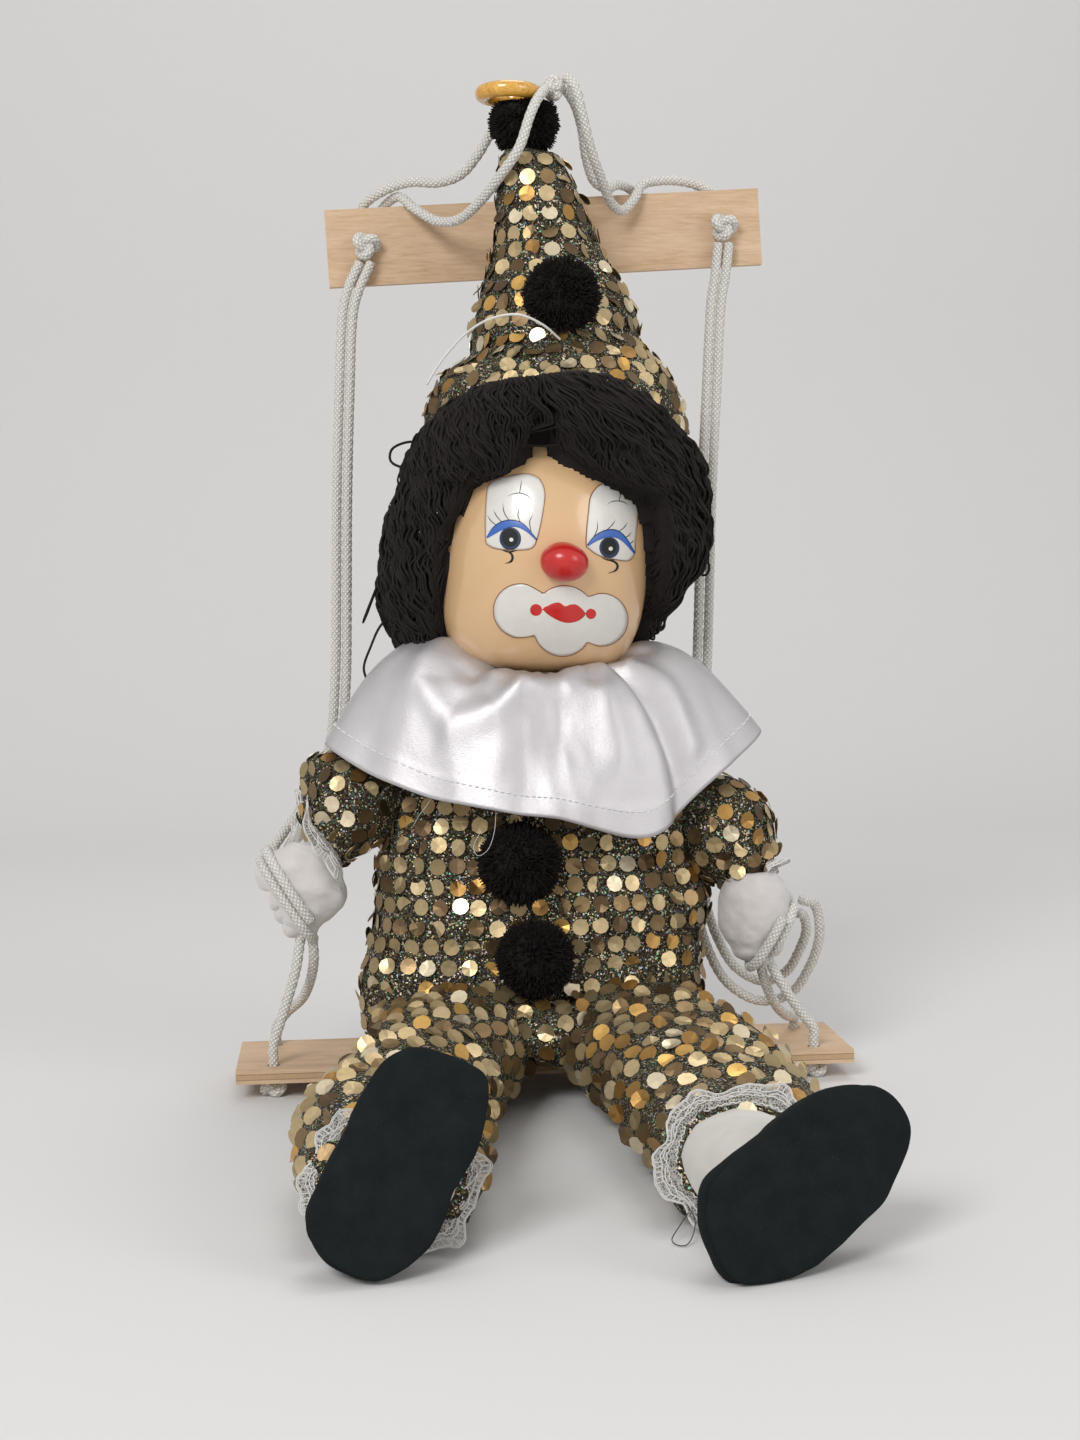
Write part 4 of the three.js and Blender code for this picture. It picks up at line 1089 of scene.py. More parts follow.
def sewSequins(name, tree, shape, keep, columns=None, lead=None, rowPitch=None, **placing):
    spots = []
    low, high = sequin["lift"]
    for spot in sewnPlaces(shape, columns, rowPitch or sequin["pitch"]):
        hit, normal = tree.find_nearest(spot)[:2]
        lean = radians(random.uniform(*sequin["propped" if lead else "tilt"]))
        spin = Matrix.Rotation(random.uniform(0, tau), 4, "Z")
        axis = spin @ right
        if lead:
            axis = normal.cross(Matrix.Rotation(random.uniform(-0.6, 0.6), 3, normal) @ lead)
            lean *= min(1, axis.length * 1.2)
        which = random.randrange(len(sequinTemplates))
        tone = pickTone()
        missing = random.random() < sequin["missing"]
        if missing or not keep(hit, normal) or (hit - spot).length > sequin["reach"]:
            continue
        if lead and normal.z < -0.4:  # underneath they lie flat on the floor
            lean, which = 0, which % 2
        place = hit + normal * (low + high * sin(lean))
        place.z = max(place.z, floorZ + 0.1)
        turn = normal.to_track_quat("Z", "Y").to_matrix().to_4x4()
        tip = Matrix.Rotation(lean, 4, axis if lead else turn @ axis)
        spots.append((which, Matrix.Translation(place) @ tip @ turn @ spin, tone))
    return scatter(name, sequinTemplates, spots, looks["sequin"], slot="sequin_cloth", **placing)


# The stuffed suit: body, sleeves and legs

suit = {
    "torso": [
        (-1, -2, 4.8, 50, 24), (-2.6, -2.5, 12, 56, 28), (-3, -2, 28, 57, 28.5),
        (-1.6, -1.5, 42, 56.6, 28), (1, -1.5, 54, 56, 27.5), (-1.2, -0.5, 68, 53.4, 25.5),
        (0, 0.5, 95, 48.5, 23.5), (0.5, 1, 107, 43, 21), (1.5, 1, 115, 27, 15),
    ],
    "left_pants_leg": [
        (-31, -22, 14, 25, 15), (-31.8, -40, 13, 25.6, 17), (-36, -60, 12.6, 23, 17),
        (-45, -95, 12.2, 23.4, 16.8), (-51, -130, 11.8, 25, 16.6), (-54, -160, 11.8, 25, 17),
        (-54.5, -186, 11.8, 20.6, 14.8),
    ],
    "right_pants_leg": [
        (31, -22, 14, 25, 15), (31, -40, 13, 27, 17), (33.5, -60, 12.6, 27, 17),
        (36.6, -90, 12.2, 27.4, 16.8), (37.4, -120, 11.8, 27.4, 16.6), (37, -148, 11.4, 25.4, 16.4),
        (36.4, -176, 11, 21.8, 15.4),
    ],
    "crotch": [(-9, -35, 16, 13, 10), (0, -37, 15.5, 14.6, 9.6), (9, -35, 16, 13, 10)],
    "neck": [(1.5, 1, 115.4, 10, 10), (1.4, 2, 131, 9.7, 9.7), (1.2, 3, 149, 9.4, 9.4)],
    "wrinkles": ((26, 2.2), (9, 0.9)),
    "legUp": (0, 0.62, 1),  # the legs' cuffs are cut on a slant
    "seatTop": 4.7,
    "legRows": 12,  # between the rows of sequins on the legs
    "hipBend": (-36, -60),  # two places at the hip, by y, where the cloth passes from the body to a leg
}


def gathers(count, depth, reach):  # small pleats that fade away from the gathered end
    def folds(u, v):
        return depth * sin(tau * count * u) * eased((v - (1 - reach)) / reach)
    return folds


def makeTorso():
    bm = bmesh.new()
    shape = makeShape(suit["torso"], right, back, square=2.3)
    loft(bm, shape, 120, 64)
    crotch = makeShape(suit["crotch"], back, up, caps=(5, 5))
    loft(bm, crotch, 48, 24)
    crumple(bm, *suit["wrinkles"])
    keepAbove(bm, suit["seatTop"])
    tree = BVHTree.FromBMesh(bm)
    torso = makePiece("torso_cloth", bm, looks["glitter"], "swing", "sequin_cloth", ["torso"])
    sewSequins("torso_sequins", tree, shape,
               lambda hit, normal: 7.5 < hit.z < 108 and normal.z > -0.8,
               columns=42, body="swing")
    sewSequins("crotch_sequins", tree, crotch,
               lambda hit, normal: hit.z > 6 and hit.y < -31 and normal.y < 0.2, lead=-back,
               body="swing")
    bm = bmesh.new()
    loft(bm, makeShape(suit["neck"], right, back, caps=(0, 1.2)), 32, 16)
    makePiece("neck_cloth", bm, looks["glitter"], "swing", "sequin_cloth", ["neck"])


def sleeveAxes(arm):  # the wrist, and the directions across, up and along the sleeve
    wrist = Vector(arm["sleeve"][-1][:3])
    along = (wrist - Vector(arm["shoulder"])).normalized()
    across = back.cross(along).normalized()
    return wrist, (across, along.cross(across), along)


def makeSleeve(side, arm):
    bm = bmesh.new()
    wrist, (across, upward, _) = sleeveAxes(arm)
    shape = makeShape(arm["sleeve"], across, upward, caps=(4, 2), folds=gathers(16, 0.8, 0.32))
    loft(bm, shape, 112, 56)
    crumple(bm, *suit["wrinkles"])
    tree = BVHTree.FromBMesh(bm)
    start = Vector(arm["shoulder"]) * mm
    stop = start + Vector((arm["side"] * 8, 0, -5)) * mm
    sleeve = makePiece(f"{side}_sleeve_cloth", bm, looks["glitter"], None, "sequin_cloth",
                       [f"{side}_sleeve"])
    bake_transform(sleeve)
    sequins = sewSequins(f"{side}_sleeve_sequins", tree, shape,
                         lambda hit, normal: abs(hit.x) > 50 and (hit - wrist).length > 6)
    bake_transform(sequins)


def makeLeg(side):
    sign = -1 if side == "left" else 1
    bm = bmesh.new()
    shape = makeShape(suit[f"{side}_pants_leg"], right, Vector(suit["legUp"]), caps=(0, 3),
                      folds=gathers(18, 0.9, 0.16), square=2.3)
    loft(bm, shape, 120, 96)
    crumple(bm, *suit["wrinkles"])
    keepAbove(bm, floorZ + 0.2)
    for vert in bm.verts:
        if vert.co.y > -26:  # over the seat
            vert.co.z = max(vert.co.z, 5)
    tree = BVHTree.FromBMesh(bm)
    start, stop = (Vector((sign * 31, y, 13)) * mm for y in suit["hipBend"])
    leg = makePiece(f"{side}_leg_cloth", bm, looks["glitter"], None, "sequin_cloth",
                    [f"{side}_pants_leg"])
    tuple(start)
    tuple(stop)
    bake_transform(leg)
    cuff = suit[f"{side}_pants_leg"][-1][1]
    sequins = sewSequins(
        f"{side}_leg_sequins", tree, shape,
        lambda hit, normal: cuff + 1.5 < hit.y < -29 and (hit.z > -2 or normal.z < -0.4),
        lead=-back, rowPitch=suit["legRows"])
    tuple(start)
    tuple(stop)
    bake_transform(sequins)


makeTorso()
for side, arm in arms.items():
    makeSleeve(side, arm)
    makeLeg(side)
print("suit made")


# Hands, socks and shoes

felt = {"wrinkles": ((13, 1.5), (5, 0.7), (2.4, 0.25)), "thumbCaps": (3, 2.8)}


def makeHand(side, arm):
    bm = bmesh.new()
    shape = handShape(arm)
    loft(bm, shape, 72, 56)
    loft(bm, makeShape(arm["thumb"], right, back, caps=felt["thumbCaps"]), 32, 28)
    for spot, radius in arm["lumps"]:
        made = bmesh.ops.create_icosphere(bm, subdivisions=4, radius=radius)["verts"]
        bmesh.ops.translate(bm, vec=spot, verts=made)
    crumple(bm, *felt["wrinkles"])
    hand = makePiece(f"{side}_hand_felt", bm, looks["felt"], f"{side}_arm", "white_felt",
                     [f"{side}_hand"])


shoes = {
    "left": {
        "sole": (-52.5, -207, 20.6), "turn": 20, "ankle": (-56.048, -193.503, 9.68),
        "cuff": (-54.5, -186, 11.8),
        "outline": [  # across the sole, and along it from heel to toe
            (17, 12.4), (16.2, 22.4), (13.6, 27.8), (6.8, 29.4), (-0.6, 29.2), (-6.6, 27.6),
            (-11.6, 22.8), (-14, 15.4), (-15, 6.8), (-16.4, -1), (-18, -9.6), (-18.4, -16.8),
            (-16.4, -21.6), (-11.5, -25.4), (-5.2, -27.4), (1.2, -27.6), (6.4, -24), (11.2, -17.4),
            (13.4, -9), (14, -2.2), (15.8, 4.6),
        ],
    },
    "right": {
        "sole": (45.5, -218, 19.4), "turn": 46, "ankle": (38.59, -204.503, 10.23),
        "cuff": (36.4, -176, 11),
        "outline": [
            (20, 7), (18.6, 14.4), (16.8, 22), (13.8, 26.6), (9, 28.2), (3.4, 27.8), (-1.2, 25.2),
            (-6.4, 20), (-10.6, 12.8), (-12.6, 4.8), (-14, -2), (-15.6, -9.4), (-17.2, -16.4),
            (-17, -22), (-12.6, -28.2), (-6.8, -31.8), (-1.4, -33.6), (3.6, -33), (10.2, -27),
            (14.2, -20.4), (16.4, -12.8), (18.6, -3),
        ],
    },
    "lean": 24,
    "soleThickness": 3.4,
    # each part's rings: share of the outline, and how far out from the top of the part
    "sole": [
        (0.0, 0.6), (0.35, 0.6), (0.62, 0.5), (0.8, 0.25), (0.88, 0.0), (0.93, -0.25),
        (0.965, -0.5), (0.99, -0.95), (1.0, -1.6), (0.985, -2.5), (0.93, -3.2), (0.6, -3.3),
        (0.0, -3.3),
    ],
    "upper": [
        (0.0, -0.3), (0.7, -0.35), (0.93, -0.5), (0.985, -1.8), (0.985, -4.2), (0.95, -7),
        (0.86, -10), (0.71, -12.4), (0.56, -13.7), (0.46, -13.3), (0.42, -11), (0.38, -8),
        (0.0, -7.6),
    ],
    # the sock's half widths by share of the way from the leg's cuff to the ankle
    "sock": [(-0.6, 14, 11), (-0.2, 16.6, 12.2), (0.2, 16.8, 12.4), (0.6, 15.4, 12.8), (1, 13, 13)],
    "rows": {"sole": 72, "upper": 64},
    "wrinkles": {
        "sole": ((14, 0.7), (5, 0.25)), "upper": ((13, 0.9), (5, 0.3)),
        "sock": ((12, 0.7), (4, 0.3)),
    },
}


def footAxes(foot):
    turn, lean = radians(foot["turn"]), radians(shoes["lean"])
    toe = Vector((sin(turn) * cos(lean), sin(lean), cos(turn) * cos(lean)))
    width = Vector((cos(turn), 0, -sin(turn)))
    return toe, width, width.cross(toe).normalized()


def smoothLoop(points, count):  # a closed smooth outline, evenly stepped
    knots = [Vector((x, z, 0)) for x, z in points]
    knots = [*knots[-2:], *knots, *knots[:3]]
    fine = [Vector(curveAt(knots, (i / 400 * len(points) + 2) / (len(knots) - 1)))
            for i in range(400)]
    fine.append(fine[0])
    walked = walkedAlong(fine)
    result = []
    i = 0
    for n in range(count):
        goal = walked[-1] * n / count
        while walked[i + 1] < goal:
            i += 1
        share = (goal - walked[i]) / max(1e-9, walked[i + 1] - walked[i])
        p = fine[i].lerp(fine[i + 1], share)
        result.append((p.x, p.y))
    return result


def footPoint(foot, outline, u, share, reach):
    toe, width, out = footAxes(foot)
    x, z = outline[round(u * len(outline)) % len(outline)]
    return Vector(foot["sole"]) + out * reach + width * x * share + toe * z * share


def makeShoe(side):
    foot = shoes[side]
    outline = smoothLoop(foot["outline"], 120)
    for part, depth in (("sole", 0), ("upper", -shoes["soleThickness"])):
        profile = [(share, depth + out) for share, out in shoes[part]]
        bm = bmesh.new()
        wrap(bm, 120, shoes["rows"][part],
             lambda u, v: footPoint(foot, outline, u, *curveAt(profile, clamp(v))))
        crumple(bm, *shoes["wrinkles"][part])
        keepAbove(bm, floorZ + 0.05)
        piece = makePiece(f"{side}_shoe_{part}_cloth", bm, looks["cotton"], f"{side}_foot",
                          "black_cotton", [f"{side}_shoe_{part}"])


def makeSock(side):
    foot = shoes[side]
    cuff, ankle = Vector(foot["cuff"]), Vector(foot["ankle"])
    stations = [
        (mixed(cuff.x, ankle.x, share), mixed(cuff.y, ankle.y, share), ankle.z, a, b)
        for share, a, b in shoes["sock"]
    ]
    shape = makeShape(stations, right, up, caps=(3, 13), folds=gathers(11, 0.35, 0.7))
    bm = bmesh.new()
    loft(bm, shape, 88, 56)
    crumple(bm, *shoes["wrinkles"]["sock"])
    keepAbove(bm, floorZ + 0.3)
    sock = makePiece(f"{side}_sock_knit", bm, looks["sock"], f"{side}_leg", "white_felt",
                     [f"{side}_sock"])


for side, arm in arms.items():
    makeHand(side, arm)
    makeShoe(side)
    makeSock(side)
print("hands and feet made")


# Lace cuffs: a see-through net with a row of bars and a scalloped free edge, worked in thread

lace = {
    "thread": 0.2, "bars": 1.15, "scallop": 5.6,  # the last two are a bar's and a scallop's width
    "zigzag": 0.5,  # the length of a stitch
    "border": 0.36,  # the worked share of the band at either edge
    # how far down the sleeve it is sewn, its ring's radius, its width, how far it flares,
    # how much of its width it drops, its waves, and how far it is turned back in front
    "wrists": {"left": (0.4, 8.6, 11, 8.4, 0.75, 5, 1.9), "right": (0.6, 8.8, 6, 3.6, 0.5, 4, 0)},
    "gone": {"left": lambda p: p.x > -53.5, "right": lambda p: p.x < 73},  # worn away there
    "ankles": {"left": (0.8, 0.05), "right": (1.8, 0.4)},  # how far up the leg, and the drop
    "ankleBand": (7.8, 6.6, 6),  # the width, the flare and the waves of both
    "ankleInset": (4.4, 3),  # how far inside the leg's cuff it is sewn, sideways and upwards
    "scallopDepth": 0.9,
    "netThickness": 0.1,
}


def makeLace(side, joint, body, centre, axes, size, band, flare, rise, waves, skip=None, over=0):
    across, upward, along = axes
    around = pi * (size[0] + size[1]) + flare * 3
    scallops, border = round(around / lace["scallop"]), band * lace["border"]

    def spot(s, w, lift=0):  # s round the cuff, w mm from its sewn edge
        angle = tau * s
        share = max(0, w / band)
        ripple = (sin(waves * angle + 0.7) + 0.5 * sin((2 * waves + 1) * angle)) * share
        grow = flare * share ** 0.8 + lift
        fall = rise * (1 - over * max(0, cos(angle)) ** 2)
        p = (centre + along * (w * fall + ripple * 0.5)
             + across * (size[0] + grow + ripple * 1.5) * cos(angle)
             + upward * (size[1] + grow * 0.8 + ripple * 1.3) * sin(angle))
        p.z = max(p.z, floorZ + 0.3)
        return p

    def scallop(s):
        depth = lace["scallopDepth"]
        return band - depth + depth * abs(sin(pi * scallops * s))

    routes = []

    def keep(points):
        run = []
        for p in [*points, None]:
            if p is None or skip and skip(p):
                if len(run) > 2:
                    routes.append(run)
                run = []
            else:
                run.append(p)

    steps = round(around / lace["zigzag"])
    for base in (0.3, border):
        keep([spot(i / steps, base + 0.22 * sin(pi * i / 2), 0.1) for i in range(steps + 1)])
    for inset in (0, 0.5, border):
        keep([spot(i / steps, scallop(i / steps) - inset + 0.12 * sin(pi * i / 2), 0.1)
              for i in range(steps + 1)])
    bars = round(around / lace["bars"])
    for i in range(bars):
        s = i / bars
        if i % 7 < 5:
            keep([spot(s, mixed(scallop(s) - border, scallop(s) - 0.4, j / 3), 0.12)
                  for j in range(4)])
        if i % 6 == 2:
            keep([spot(s + (0.5 - 0.5 * cos(pi * j / 6)) * 5 / bars,
                       band * (0.36 + 0.16 * sin(pi * j / 6)), 0.12) for j in range(7)])
    strands(f"{side}_{joint}_lace_thread", routes, lace["thread"], looks["lace"], fine=0, body=body,
            slot="white_lace", replaces=[f"{side}_{joint}_lace"])
    bm = bmesh.new()
    wrap(bm, 240, 8, lambda u, v: spot(u, v * scallop(u)), fillEnds=False)
    if skip:
        bmesh.ops.delete(bm, geom=[v for v in bm.verts if skip(v.co)], context="VERTS")
    bmesh.ops.solidify(bm, geom=bm.faces[:], thickness=lace["netThickness"])
    makePiece(f"{side}_{joint}_lace_net", bm, looks["net"], body, "white_lace")


for side, arm in arms.items():
    wrist, axes = sleeveAxes(arm)
    down, radius, width, flare, rise, waves, over = lace["wrists"][side]
    makeLace(side, "wrist", f"{side}_arm", wrist + axes[2] * down, axes, (radius, radius), width,
             flare, rise, waves, lace["gone"][side], over)
    wide, tall = suit[f"{side}_pants_leg"][-1][3:]
    gap, rise = lace["ankles"][side]
    width, flare, waves = lace["ankleBand"]
    inWide, inTall = lace["ankleInset"]
    makeLace(side, "ankle", f"{side}_leg", Vector(shoes[side]["cuff"]) - back * gap,
             (right, Vector(suit["legUp"]), -back), (wide - inWide, tall - inTall), width, flare,
             rise, waves)
print("laces made")


# Head

head = {
    "centre": (1.5, -2, 174),
    "size": (73, 75, 88),
    "turn": (6, 4, 7),
    "nose": (0, -38.4, -11.6),
    "noseSize": (15.2, 14.6, 12.4),
    "noseTurn": 6,
    "noseWrinkles": (6, 0.25),
    "neck": [(1.6, 0, 124.4, 13.5, 13.5), (1.5, 0, 136, 13.6, 13.6)],
    "shift": 0.7,
    "roundness": 0.92,
    "jaw": (0.42, 0.66),  # the roundness across and along towards the jaw, which is fuller
    "chin": (0.14, 3.5),  # how much narrower it gets from front to back, and how far forward
}
nod, tilt, look = head["turn"]
headTurn = turned(look, "Z") @ turned(tilt, "Y") @ turned(-nod, "X")


def headPoint(u, v):
    wide, deep, tall = (s / 2 for s in head["size"])
    angle = pi * v
    height = -cos(angle)
    jaw = max(0, -height)
    ringed = max(0, sin(angle)) if 0 < v < 1 else 0
    across, along = (mixed(head["roundness"], r, eased(jaw * 1.6)) for r in head["jaw"])
    narrow, forward = head["chin"]
    wide *= ringed ** across
    deep *= ringed ** along * (1 - narrow * jaw ** 2)
    turn = tau * u
    spot = Vector((wide * cos(turn) + head["shift"], deep * sin(turn) - forward * jaw ** 2,
                   tall * height))
    return Vector(head["centre"]) + headTurn @ spot


def makeHead():
    bm = bmesh.new()
    wrap(bm, 128, 96, headPoint, fillEnds=False)
    tree = BVHTree.FromBMesh(bm)
    loft(bm, makeShape(head["neck"], right, back, caps=(0.5, 3)), 64, 16)
    makePiece("head_glaze", bm, looks["glaze"], "head", "tan_ceramic", ["head_shell"])
    return tree


headTree = makeHead()


# The painted face. Marks are in mm right of and above the nose, as seen from the front.

face = {
    "from": Vector((-63.7, -719.3, 157.4)),
    "at": Vector((6.5, -46, 166.4)),
    "leftPatch": [
        (-24.3, 24.4), (-25.4, 17.4), (-25.6, 7.5), (-24.6, 5.5), (-21.7, 4.4), (-15.5, 4.0),
        (-11.4, 4.5), (-9.7, 7.0), (-8.0, 13.7), (-6.9, 21.0), (-7.7, 24.6), (-9.3, 26.6),
        (-12.7, 27.6), (-16.6, 27.2), (-21, 26.4),
    ],
    "rightPatch": [
        (12.4, 24.6), (9.3, 23.1), (7.2, 20.0), (6.5, 15.3), (5.8, 9.1), (5.7, 5.0), (6.7, 3.9),
        (9.8, 1.8), (16.0, 0.3), (19.1, 0.3), (20.6, 2.4), (20.9, 6.0), (21.7, 13.2), (22.0, 18.4),
        (21.2, 21.5), (18.6, 24.2), (15.5, 25.3),
    ],
    "cloud": [(-15.2, -14.9, 8.4), (10.1, -18.1, 8.2), (-2.1, -20.2, 9.1), (-1.5, -17, 9.7)],
    "cloudMiddle": (-2.2, -17.6),
    "lips": [
        (-8.0, -14.6), (-6.0, -13.1), (-3.1, -12.5), (-1.2, -13.7), (0.5, -13.2), (2.6, -13.4),
        (5.0, -15.9), (3.9, -17.6), (1.5, -18.7), (-1.6, -18.7), (-5.2, -17.1),
    ],
    "lipSpots": [(-10.3, -14.7, 1.85), (6.8, -16.2, 1.6)],  # at both corners of the mouth
    "lipLines": [[(-8.6, -14.6), (-7.4, -14.6)], [(4.6, -16), (5.6, -16.1)]],
    "strokes": [  # width, lift and how both ends taper
        ("lid", 0.3, 0.36, (0.4, 0.5)), ("brow", 0.5, 0.18, (0.2, 0.2)),
        ("stroke", 0.45, 0.18, (0.25, 0.7)), ("under", 0.55, 0.24, (0.2, 0.2)),
        ("hook", 0.85, 0.2, (0.8, 0.15)),
    ],
    "eyes": {
        "left": {
            "iris": (-17.9, 7.6), "radius": 3.35,
            "lid": [(-25.2, 8.2), (-23.1, 11.2), (-20.2, 13), (-16.9, 13.3), (-13.5, 11.9),
                    (-9.5, 7.2)],
            "lidFoot": [(-25.0, 7.8), (-22.9, 8.9), (-20.6, 10.1), (-16.8, 11.2), (-13.3, 9.9),
                        (-9.8, 6.8)],
            "brow": [(-18.6, 20.7), (-16.5, 21.5), (-14.3, 21.6), (-12.4, 20.8), (-10.9, 19.4)],
            "stroke": [(-14.1, 25.7), (-14.4, 23.6), (-14.8, 21.7)],
            "lashes": [
                [(-21.9, 11.6), (-23.8, 13.2), (-24.9, 15)],
                [(-20.3, 12.6), (-22, 14.6), (-23, 16.6)],
                [(-18.1, 13.2), (-19.6, 15.6), (-20.1, 18.7)],
                [(-14.6, 12.3), (-15.4, 14.8), (-14.9, 17.4)],
                [(-11.4, 9.6), (-11.8, 12.6), (-10.7, 15)],
            ],
            "under": [(-21.1, 4.3), (-18.4, 3.5), (-15.8, 3.9)],
            "hook": [(-18.4, 3.5), (-17.5, 2.5), (-17.4, 1.2), (-18.2, 0.3), (-19.7, -0.1)],
        },
        "right": {
            "iris": (12.8, 4.3), "radius": 3.1,
            "lid": [(5.9, 5.3), (8.3, 8), (11.6, 9.7), (15, 9.7), (17.9, 7.4), (20.7, 2.6)],
            "lidFoot": [(6.2, 4.8), (8.6, 6.2), (11.8, 7.3), (15, 7.2), (17.6, 5.4), (20.4, 2.2)],
            "brow": [(12.2, 17.6), (13.8, 18.5), (15.9, 18.7), (17.7, 18.2), (18.9, 17.4)],
            "stroke": [(16.6, 21.8), (16.4, 20.2), (16, 18.7)],
            "lashes": [
                [(7.8, 7.3), (9.1, 10), (9.2, 12.7)], [(12.2, 9.9), (13.7, 11.2), (14.9, 13)],
                [(16, 9.4), (17.4, 10.4), (18.5, 12)], [(17.9, 7.4), (18.8, 7.9), (19.7, 9)],
                [(19, 5.4), (19.8, 5.8), (20.6, 6.6)],
            ],
            "under": [(10.4, 1.2), (12.8, 0.4), (15.0, 0.6)],
            "hook": [(13.2, 0.4), (14.8, -0.4), (15.4, -1.6), (14.6, -2.9), (12.5, -3.6)],
        },
    },
}


def onFace(x, z, lift):
    ahead = (face["at"] - face["from"]).normalized()
    level = ahead.cross(up).normalized()
    target = face["at"] + level * x + level.cross(ahead) * z
    ray = (target - face["from"]).normalized()
    hit, normal = headTree.ray_cast(face["from"], ray)[:2]
    if hit is None:
        hit, normal = headTree.find_nearest(target)[:2]
    return hit + normal * lift


def patch(bm, outline, lift):  # a coat of paint inside an outline, its rim tucked in
    count, rings, tuck = len(outline), 14, -0.25
    cx, cz = (sum(p[i] for p in outline) / count for i in (0, 1))

    def place(u, v):
        x, z = outline[round(u * count) % count]
        share = min(1, v * (rings + 1) / rings)
        low = v > 1 - 0.5 / (rings + 1)
        return onFace(cx + (x - cx) * share, cz + (z - cz) * share, tuck if low else lift)

    wrap(bm, count, rings + 1, place)


def band(bm, upper, lower, lift):  # paint between two edges
    def place(u, v):
        inside = clamp((v - 0.1) / 0.8)
        x, z = (mixed(p, q, inside) for p, q in zip(curveAt(upper, u), curveAt(lower, u)))
        return onFace(x, z, lift if 0.05 < v < 0.95 else -0.05)

    wrap(bm, 40, 8, place)


def ovalOf(x, z, wide, tall=None, count=40):
    return [(x + wide * cos(a), z + (tall or wide) * sin(a))
            for a in (tau * i / count for i in range(count))]


def brush(bm, points, width, lift, taper=(0.3, 0.3), closed=False):  # one stroke of a fine brush
    if closed:
        path = smoothLoop(points, 160)
        path.append(path[0])
    else:
        knots = [Vector((x, z, 0)) for x, z in points]
        count = max(8, round(routeLength(knots) / 0.4))
        path = [tuple(curveAt(knots, i / count)[:2]) for i in range(count + 1)]
    last = len(path) - 1

    def place(u, v):
        i = round(v * last)
        a, b = Vector(path[max(0, i - 1)]), Vector(path[min(last, i + 1)])
        if closed and i in (0, last):
            a, b = Vector(path[-2]), Vector(path[1])
        direction = (b - a).normalized()
        swell = 1
        if not closed:
            swell = mixed(taper[0], 1, eased(v * 2.6)) * mixed(taper[1], 1, eased((1 - v) * 2.6))
        offset = (u - 0.5) * width * swell
        x, z = path[i][0] - direction.y * offset, path[i][1] + direction.x * offset
        return onFace(x, z, mixed(lift, -0.05, abs(u - 0.5) * 2 > 0.9))

    wrap(bm, 4, last, place)


def cloudOutline(lobes, count=150):  # the outer edge of overlapping round lobes
    cx, cz = face["cloudMiddle"]
    outline = []
    for i in range(count):
        a = tau * i / count
        dx, dz = cos(a), sin(a)
        reach = 0
        for x, z, r in lobes:
            px, pz = x - cx, z - cz
            along = px * dx + pz * dz
            inside = r * r - (px * px + pz * pz - along * along)
            if inside > 0:
                reach = max(reach, along + sqrt(inside))
        outline.append((cx + dx * reach, cz + dz * reach))
    return outline


def paint(name, look, marks):
    bm = bmesh.new()
    for tool, *settings in marks:
        tool(bm, *settings)
    return makePiece(name, bm, looks[look], "head", "tan_ceramic")


def makeFace():
    cloud = cloudOutline(face["cloud"])
    outlines = [face["leftPatch"], face["rightPatch"]]
    paint("face_white", "white", [
        (patch, edge, 0.15) for edge in (cloud, *(smoothLoop(p, 110) for p in outlines))])
    paint("face_outlines", "outline", [
        (brush, cloud[::2], 0.34, 0.27, (1, 1), True),
        *((brush, p, 0.30, 0.27, (1, 1), True) for p in outlines)])
    paint("face_lips", "red", [
        (patch, smoothLoop(face["lips"], 90), 0.2),
        *((patch, ovalOf(*spot), 0.2) for spot in face["lipSpots"]),
        *((brush, line, 0.7, 0.2) for line in face["lipLines"])])
    blues, irises, inks, lights = [], [], [], []
    for eye in face["eyes"].values():
        x, z = eye["iris"]
        r = eye["radius"]
        blues.append((band, eye["lid"], eye["lidFoot"], 0.3))
        irises.append((patch, ovalOf(x, z, r, r * 1.06, 48), 0.21))
        inks.append((patch, ovalOf(x - 0.1, z + 0.35, r * 0.74, r * 0.84), 0.26))
        inks += [(brush, eye[mark], *settings) for mark, *settings in face["strokes"]]
        inks += [(brush, lash, 0.46, 0.2, (0.8, 0.12)) for lash in eye["lashes"]]
        lights.append((patch, ovalOf(x + 0.35, z - 0.35, 0.62), 0.32))
    paint("face_lids", "blue", blues)
    paint("face_irises", "iris", irises)
    paint("face_ink", "ink", inks)
    paint("face_glints", "white", lights)


def makeNose():
    bm = bmesh.new()
    bmesh.ops.create_icosphere(bm, subdivisions=5, radius=0.5)
    bmesh.ops.scale(bm, vec=head["noseSize"], verts=bm.verts)
    turn = (headTurn @ turned(head["noseTurn"], "Y")).to_4x4()
    place = Vector(head["centre"]) + headTurn @ Vector(head["nose"])
    bmesh.ops.transform(bm, matrix=Matrix.Translation(place) @ turn, verts=bm.verts)
    crumple(bm, head["noseWrinkles"])
    makePiece("nose_ball", bm, looks["noseRed"], "head", "tan_ceramic")


makeFace()
makeNose()
print("head made")


# Wig: a dark cap, and locks of crimped yarn loops that flow over it

